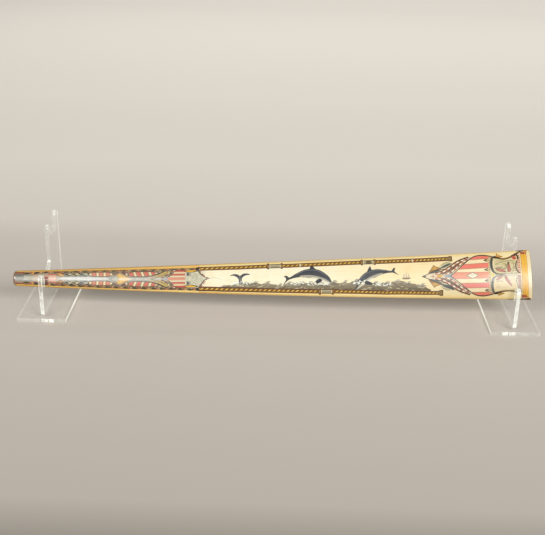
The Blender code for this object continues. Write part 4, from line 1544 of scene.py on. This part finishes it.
def make_acrylic(name, sheet_axis):
    """Clear acrylic: the sheet's faces let nearly all light through. The light that the cut edges
    gather is painted on them, as a whitish cover and a glow from emission, most in the front prongs,
    in the plates' long edges that face the middle and beside their feet."""
    g = Shading(name)
    texture = g.node("ShaderNodeTexCoord").outputs
    normal, place = g.split(texture["Normal"]), g.split(texture["Object"])
    y, z = place["Y"], place["Z"]
    haze = g.noise(texture["Object"], 55.0, 3.0)
    mottle = g.ranged(g.noise(texture["Object"], 150.0, 2.0), 0.35, 0.65)
    left, right = stand_x("left"), stand_x("right")
    across = g.minus(place["X"], (left + right) / 2)
    inward = g.minus((right - left) / 2, g.size(across))
    cut = g.ranged(g.size(normal[sheet_axis]), 0.8, 0.3)
    cut_colour = g.tinted(mottle, (0.5, 0.53, 0.45, 1), (0.72, 0.74, 0.68, 1))
    if sheet_axis == "Z":
        filled = plate_filling(g, y, inward, mottle)
        # Painted light: the plates' long edges are whitened towards the rear.
        cut_colour = g.tinted(g.ranged(y, *PLATE_PAINTED_LIGHT_Y), cut_colour, (1.0, 1.0, 0.95, 1))
    else:
        filled = upright_filling(g, y, z, across, inward, mottle)
    return g.finished({
        "Base Color": g.tinted(cut, (0.5, 0.52, 0.44, 1), cut_colour),
        "Alpha": g.between(cut, g.ranged(haze, 0.4, 0.7, 0.02, 0.05), filled),
        "Roughness": g.ranged(haze, 0.45, 0.75, 0.04, 0.14),
        "IOR": 1.49, "Coat Weight": 0.3,
        # Painted glow: emission, shown where the cut edges cover.
        "Emission Color": (0.9, 0.92, 0.84, 1), "Emission Strength": PAINTED_EDGE_GLOW[sheet_axis],
    })


def dress_stands():
    """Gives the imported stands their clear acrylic."""
    for piece, material in (("upright", make_acrylic("clear_acrylic_upright", "X")),
                            ("base", make_acrylic("clear_acrylic_plate", "Z"))):
        for side in ("left", "right"):
            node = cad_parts[f"{side}_stand_{piece}"]
            node.data.materials.clear()
            node.data.materials.append(material)


def make_bill():
    """The painted bill, in the place of the solid one."""
    art = paint_everything()
    mesh, where, kinds, shapes = make_bill_mesh(art)
    set_corner_data(mesh, where, kinds, shapes, art)
    bill = bpy.data.objects.new("painted_bill", mesh)
    bpy.context.scene.collection.objects.link(bill)
    mesh.materials.append(make_bill_material())
    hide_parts("bill")
    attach(bill, "root")


FLOOR_REACH = 8.0  # of its sides and its back, in metres from the object
FLOOR_FRONT = -3.0
# Painted light: the floor's tone by its Y in metres, darker near the front and brighter towards the back,
# as the light falls on it.
FLOOR_PAINTED_LIGHT = (
    (-0.57, (142, 136, 127)), (-0.5, (174, 167, 158)), (-0.3, (187, 180, 170)),
    (-0.12, (200, 192, 182)), (0.1, (204, 196, 186)), (0.26, (214, 206, 196)),
    (0.36, (228, 221, 211)), (0.75, (243, 237, 226)), (1.34, (242, 236, 226)),
    (3.0, (213, 208, 199)))


def make_floor():
    """A wide pale floor whose tone is painted light: it grows a little brighter towards the back."""
    side, front = FLOOR_REACH, FLOOR_FRONT
    corners = [(-side, front, 0), (side, front, 0), (side, side, 0), (-side, side, 0)]
    mesh = bpy.data.meshes.new("floor")
    mesh.from_pydata(corners, [], [(0, 1, 2, 3)])
    floor = bpy.data.objects.new("floor", mesh)
    bpy.context.scene.collection.objects.link(floor)
    g = Shading("pale_floor")
    y = g.split(g.node("ShaderNodeTexCoord").outputs["Object"])["Y"]
    near, far = FLOOR_PAINTED_LIGHT[0][0], FLOOR_PAINTED_LIGHT[-1][0]
    ramp = g.node("ShaderNodeValToRGB", {"Fac": g.ranged(y, near, far)})
    stops = ramp.color_ramp.elements
    stops[0].color = rgba(FLOOR_PAINTED_LIGHT[0][1])
    stops[-1].color = rgba(FLOOR_PAINTED_LIGHT[-1][1])
    for place, tone in FLOOR_PAINTED_LIGHT[1:-1]:
        stops.new((place - near) / (far - near)).color = rgba(tone)
    mesh.materials.append(g.finished({
        "Base Color": ramp.outputs["Color"], "Roughness": 0.9, "Specular IOR Level": 0.1}))


# Lights: places in metres, powers in watts.
FRONT_BOXES = (("left_box", -1.25, 37), ("right_box", 1.25, 47))
FRONT_BOX_Y = -2.0
FRONT_BOX_Z = 1.45
BILL_CENTRE = (0, -0.03, 0.08)
FAR_BOX = (0.8, 3.2, 2.2)
FAR_POWER = 46
SURROUNDINGS = (246, 243, 238)
SURROUNDING_STRENGTH = 0.36


def add_light(name, place, target, width, height, power):
    """A soft box that faces the target."""
    data = bpy.data.lights.new(name, "AREA")
    data.shape = "RECTANGLE"
    data.size, data.size_y = width, height
    data.energy = power
    light = bpy.data.objects.new(name, data)
    light.location = place
    light.rotation_euler = (Vector(target) - Vector(place)).to_track_quat("-Z", "Y").to_euler()
    bpy.context.scene.collection.objects.link(light)
    return data


def light_the_scene():
    """Two soft boxes in front, left and right, whose upper limit makes the gloss end along the
    bill's middle, a wide one over the far floor, and an even surrounding light."""
    for name, x, power in FRONT_BOXES:
        add_light(name, (x, FRONT_BOX_Y, FRONT_BOX_Z), BILL_CENTRE, 1.0, 0.85, power)
    far_box = add_light("far_floor", FAR_BOX, (*FAR_BOX[:2], 0), 6.0, 3.0, FAR_POWER)
    far_box.spread = math.radians(110)
    world = bpy.data.worlds.new("studio")
    bpy.context.scene.world = world
    world.use_nodes = True
    background = world.node_tree.nodes["Background"]
    background.inputs["Color"].default_value = rgba(SURROUNDINGS)
    background.inputs["Strength"].default_value = SURROUNDING_STRENGTH
    bpy.context.scene.view_settings.view_transform = "Standard"


def place_camera():
    """The photograph's camera: yaw from +Y, pitch downwards, roll about the line of sight."""
    forward = Vector((-math.sin(CAMERA_YAW) * math.cos(CAMERA_PITCH),
                      math.cos(CAMERA_YAW) * math.cos(CAMERA_PITCH), -math.sin(CAMERA_PITCH)))
    right = Vector((math.cos(CAMERA_YAW), math.sin(CAMERA_YAW), 0))
    up = right.cross(forward)
    rolled_right = math.cos(CAMERA_ROLL) * right + math.sin(CAMERA_ROLL) * up
    rolled_up = math.cos(CAMERA_ROLL) * up - math.sin(CAMERA_ROLL) * right
    data = bpy.data.cameras.new("camera")
    data.sensor_width = SENSOR_WIDTH
    data.lens = FOCAL_PIXELS / PHOTO_WIDTH * SENSOR_WIDTH
    camera = bpy.data.objects.new("camera", data)
    turn = Matrix((rolled_right, rolled_up, -forward)).transposed().to_4x4()
    camera.matrix_world = Matrix.Translation(CAMERA_PLACE) @ turn
    bpy.context.scene.collection.objects.link(camera)
    bpy.context.scene.camera = camera


place_camera()
light_the_scene()
make_floor()
dress_stands()
make_bill()
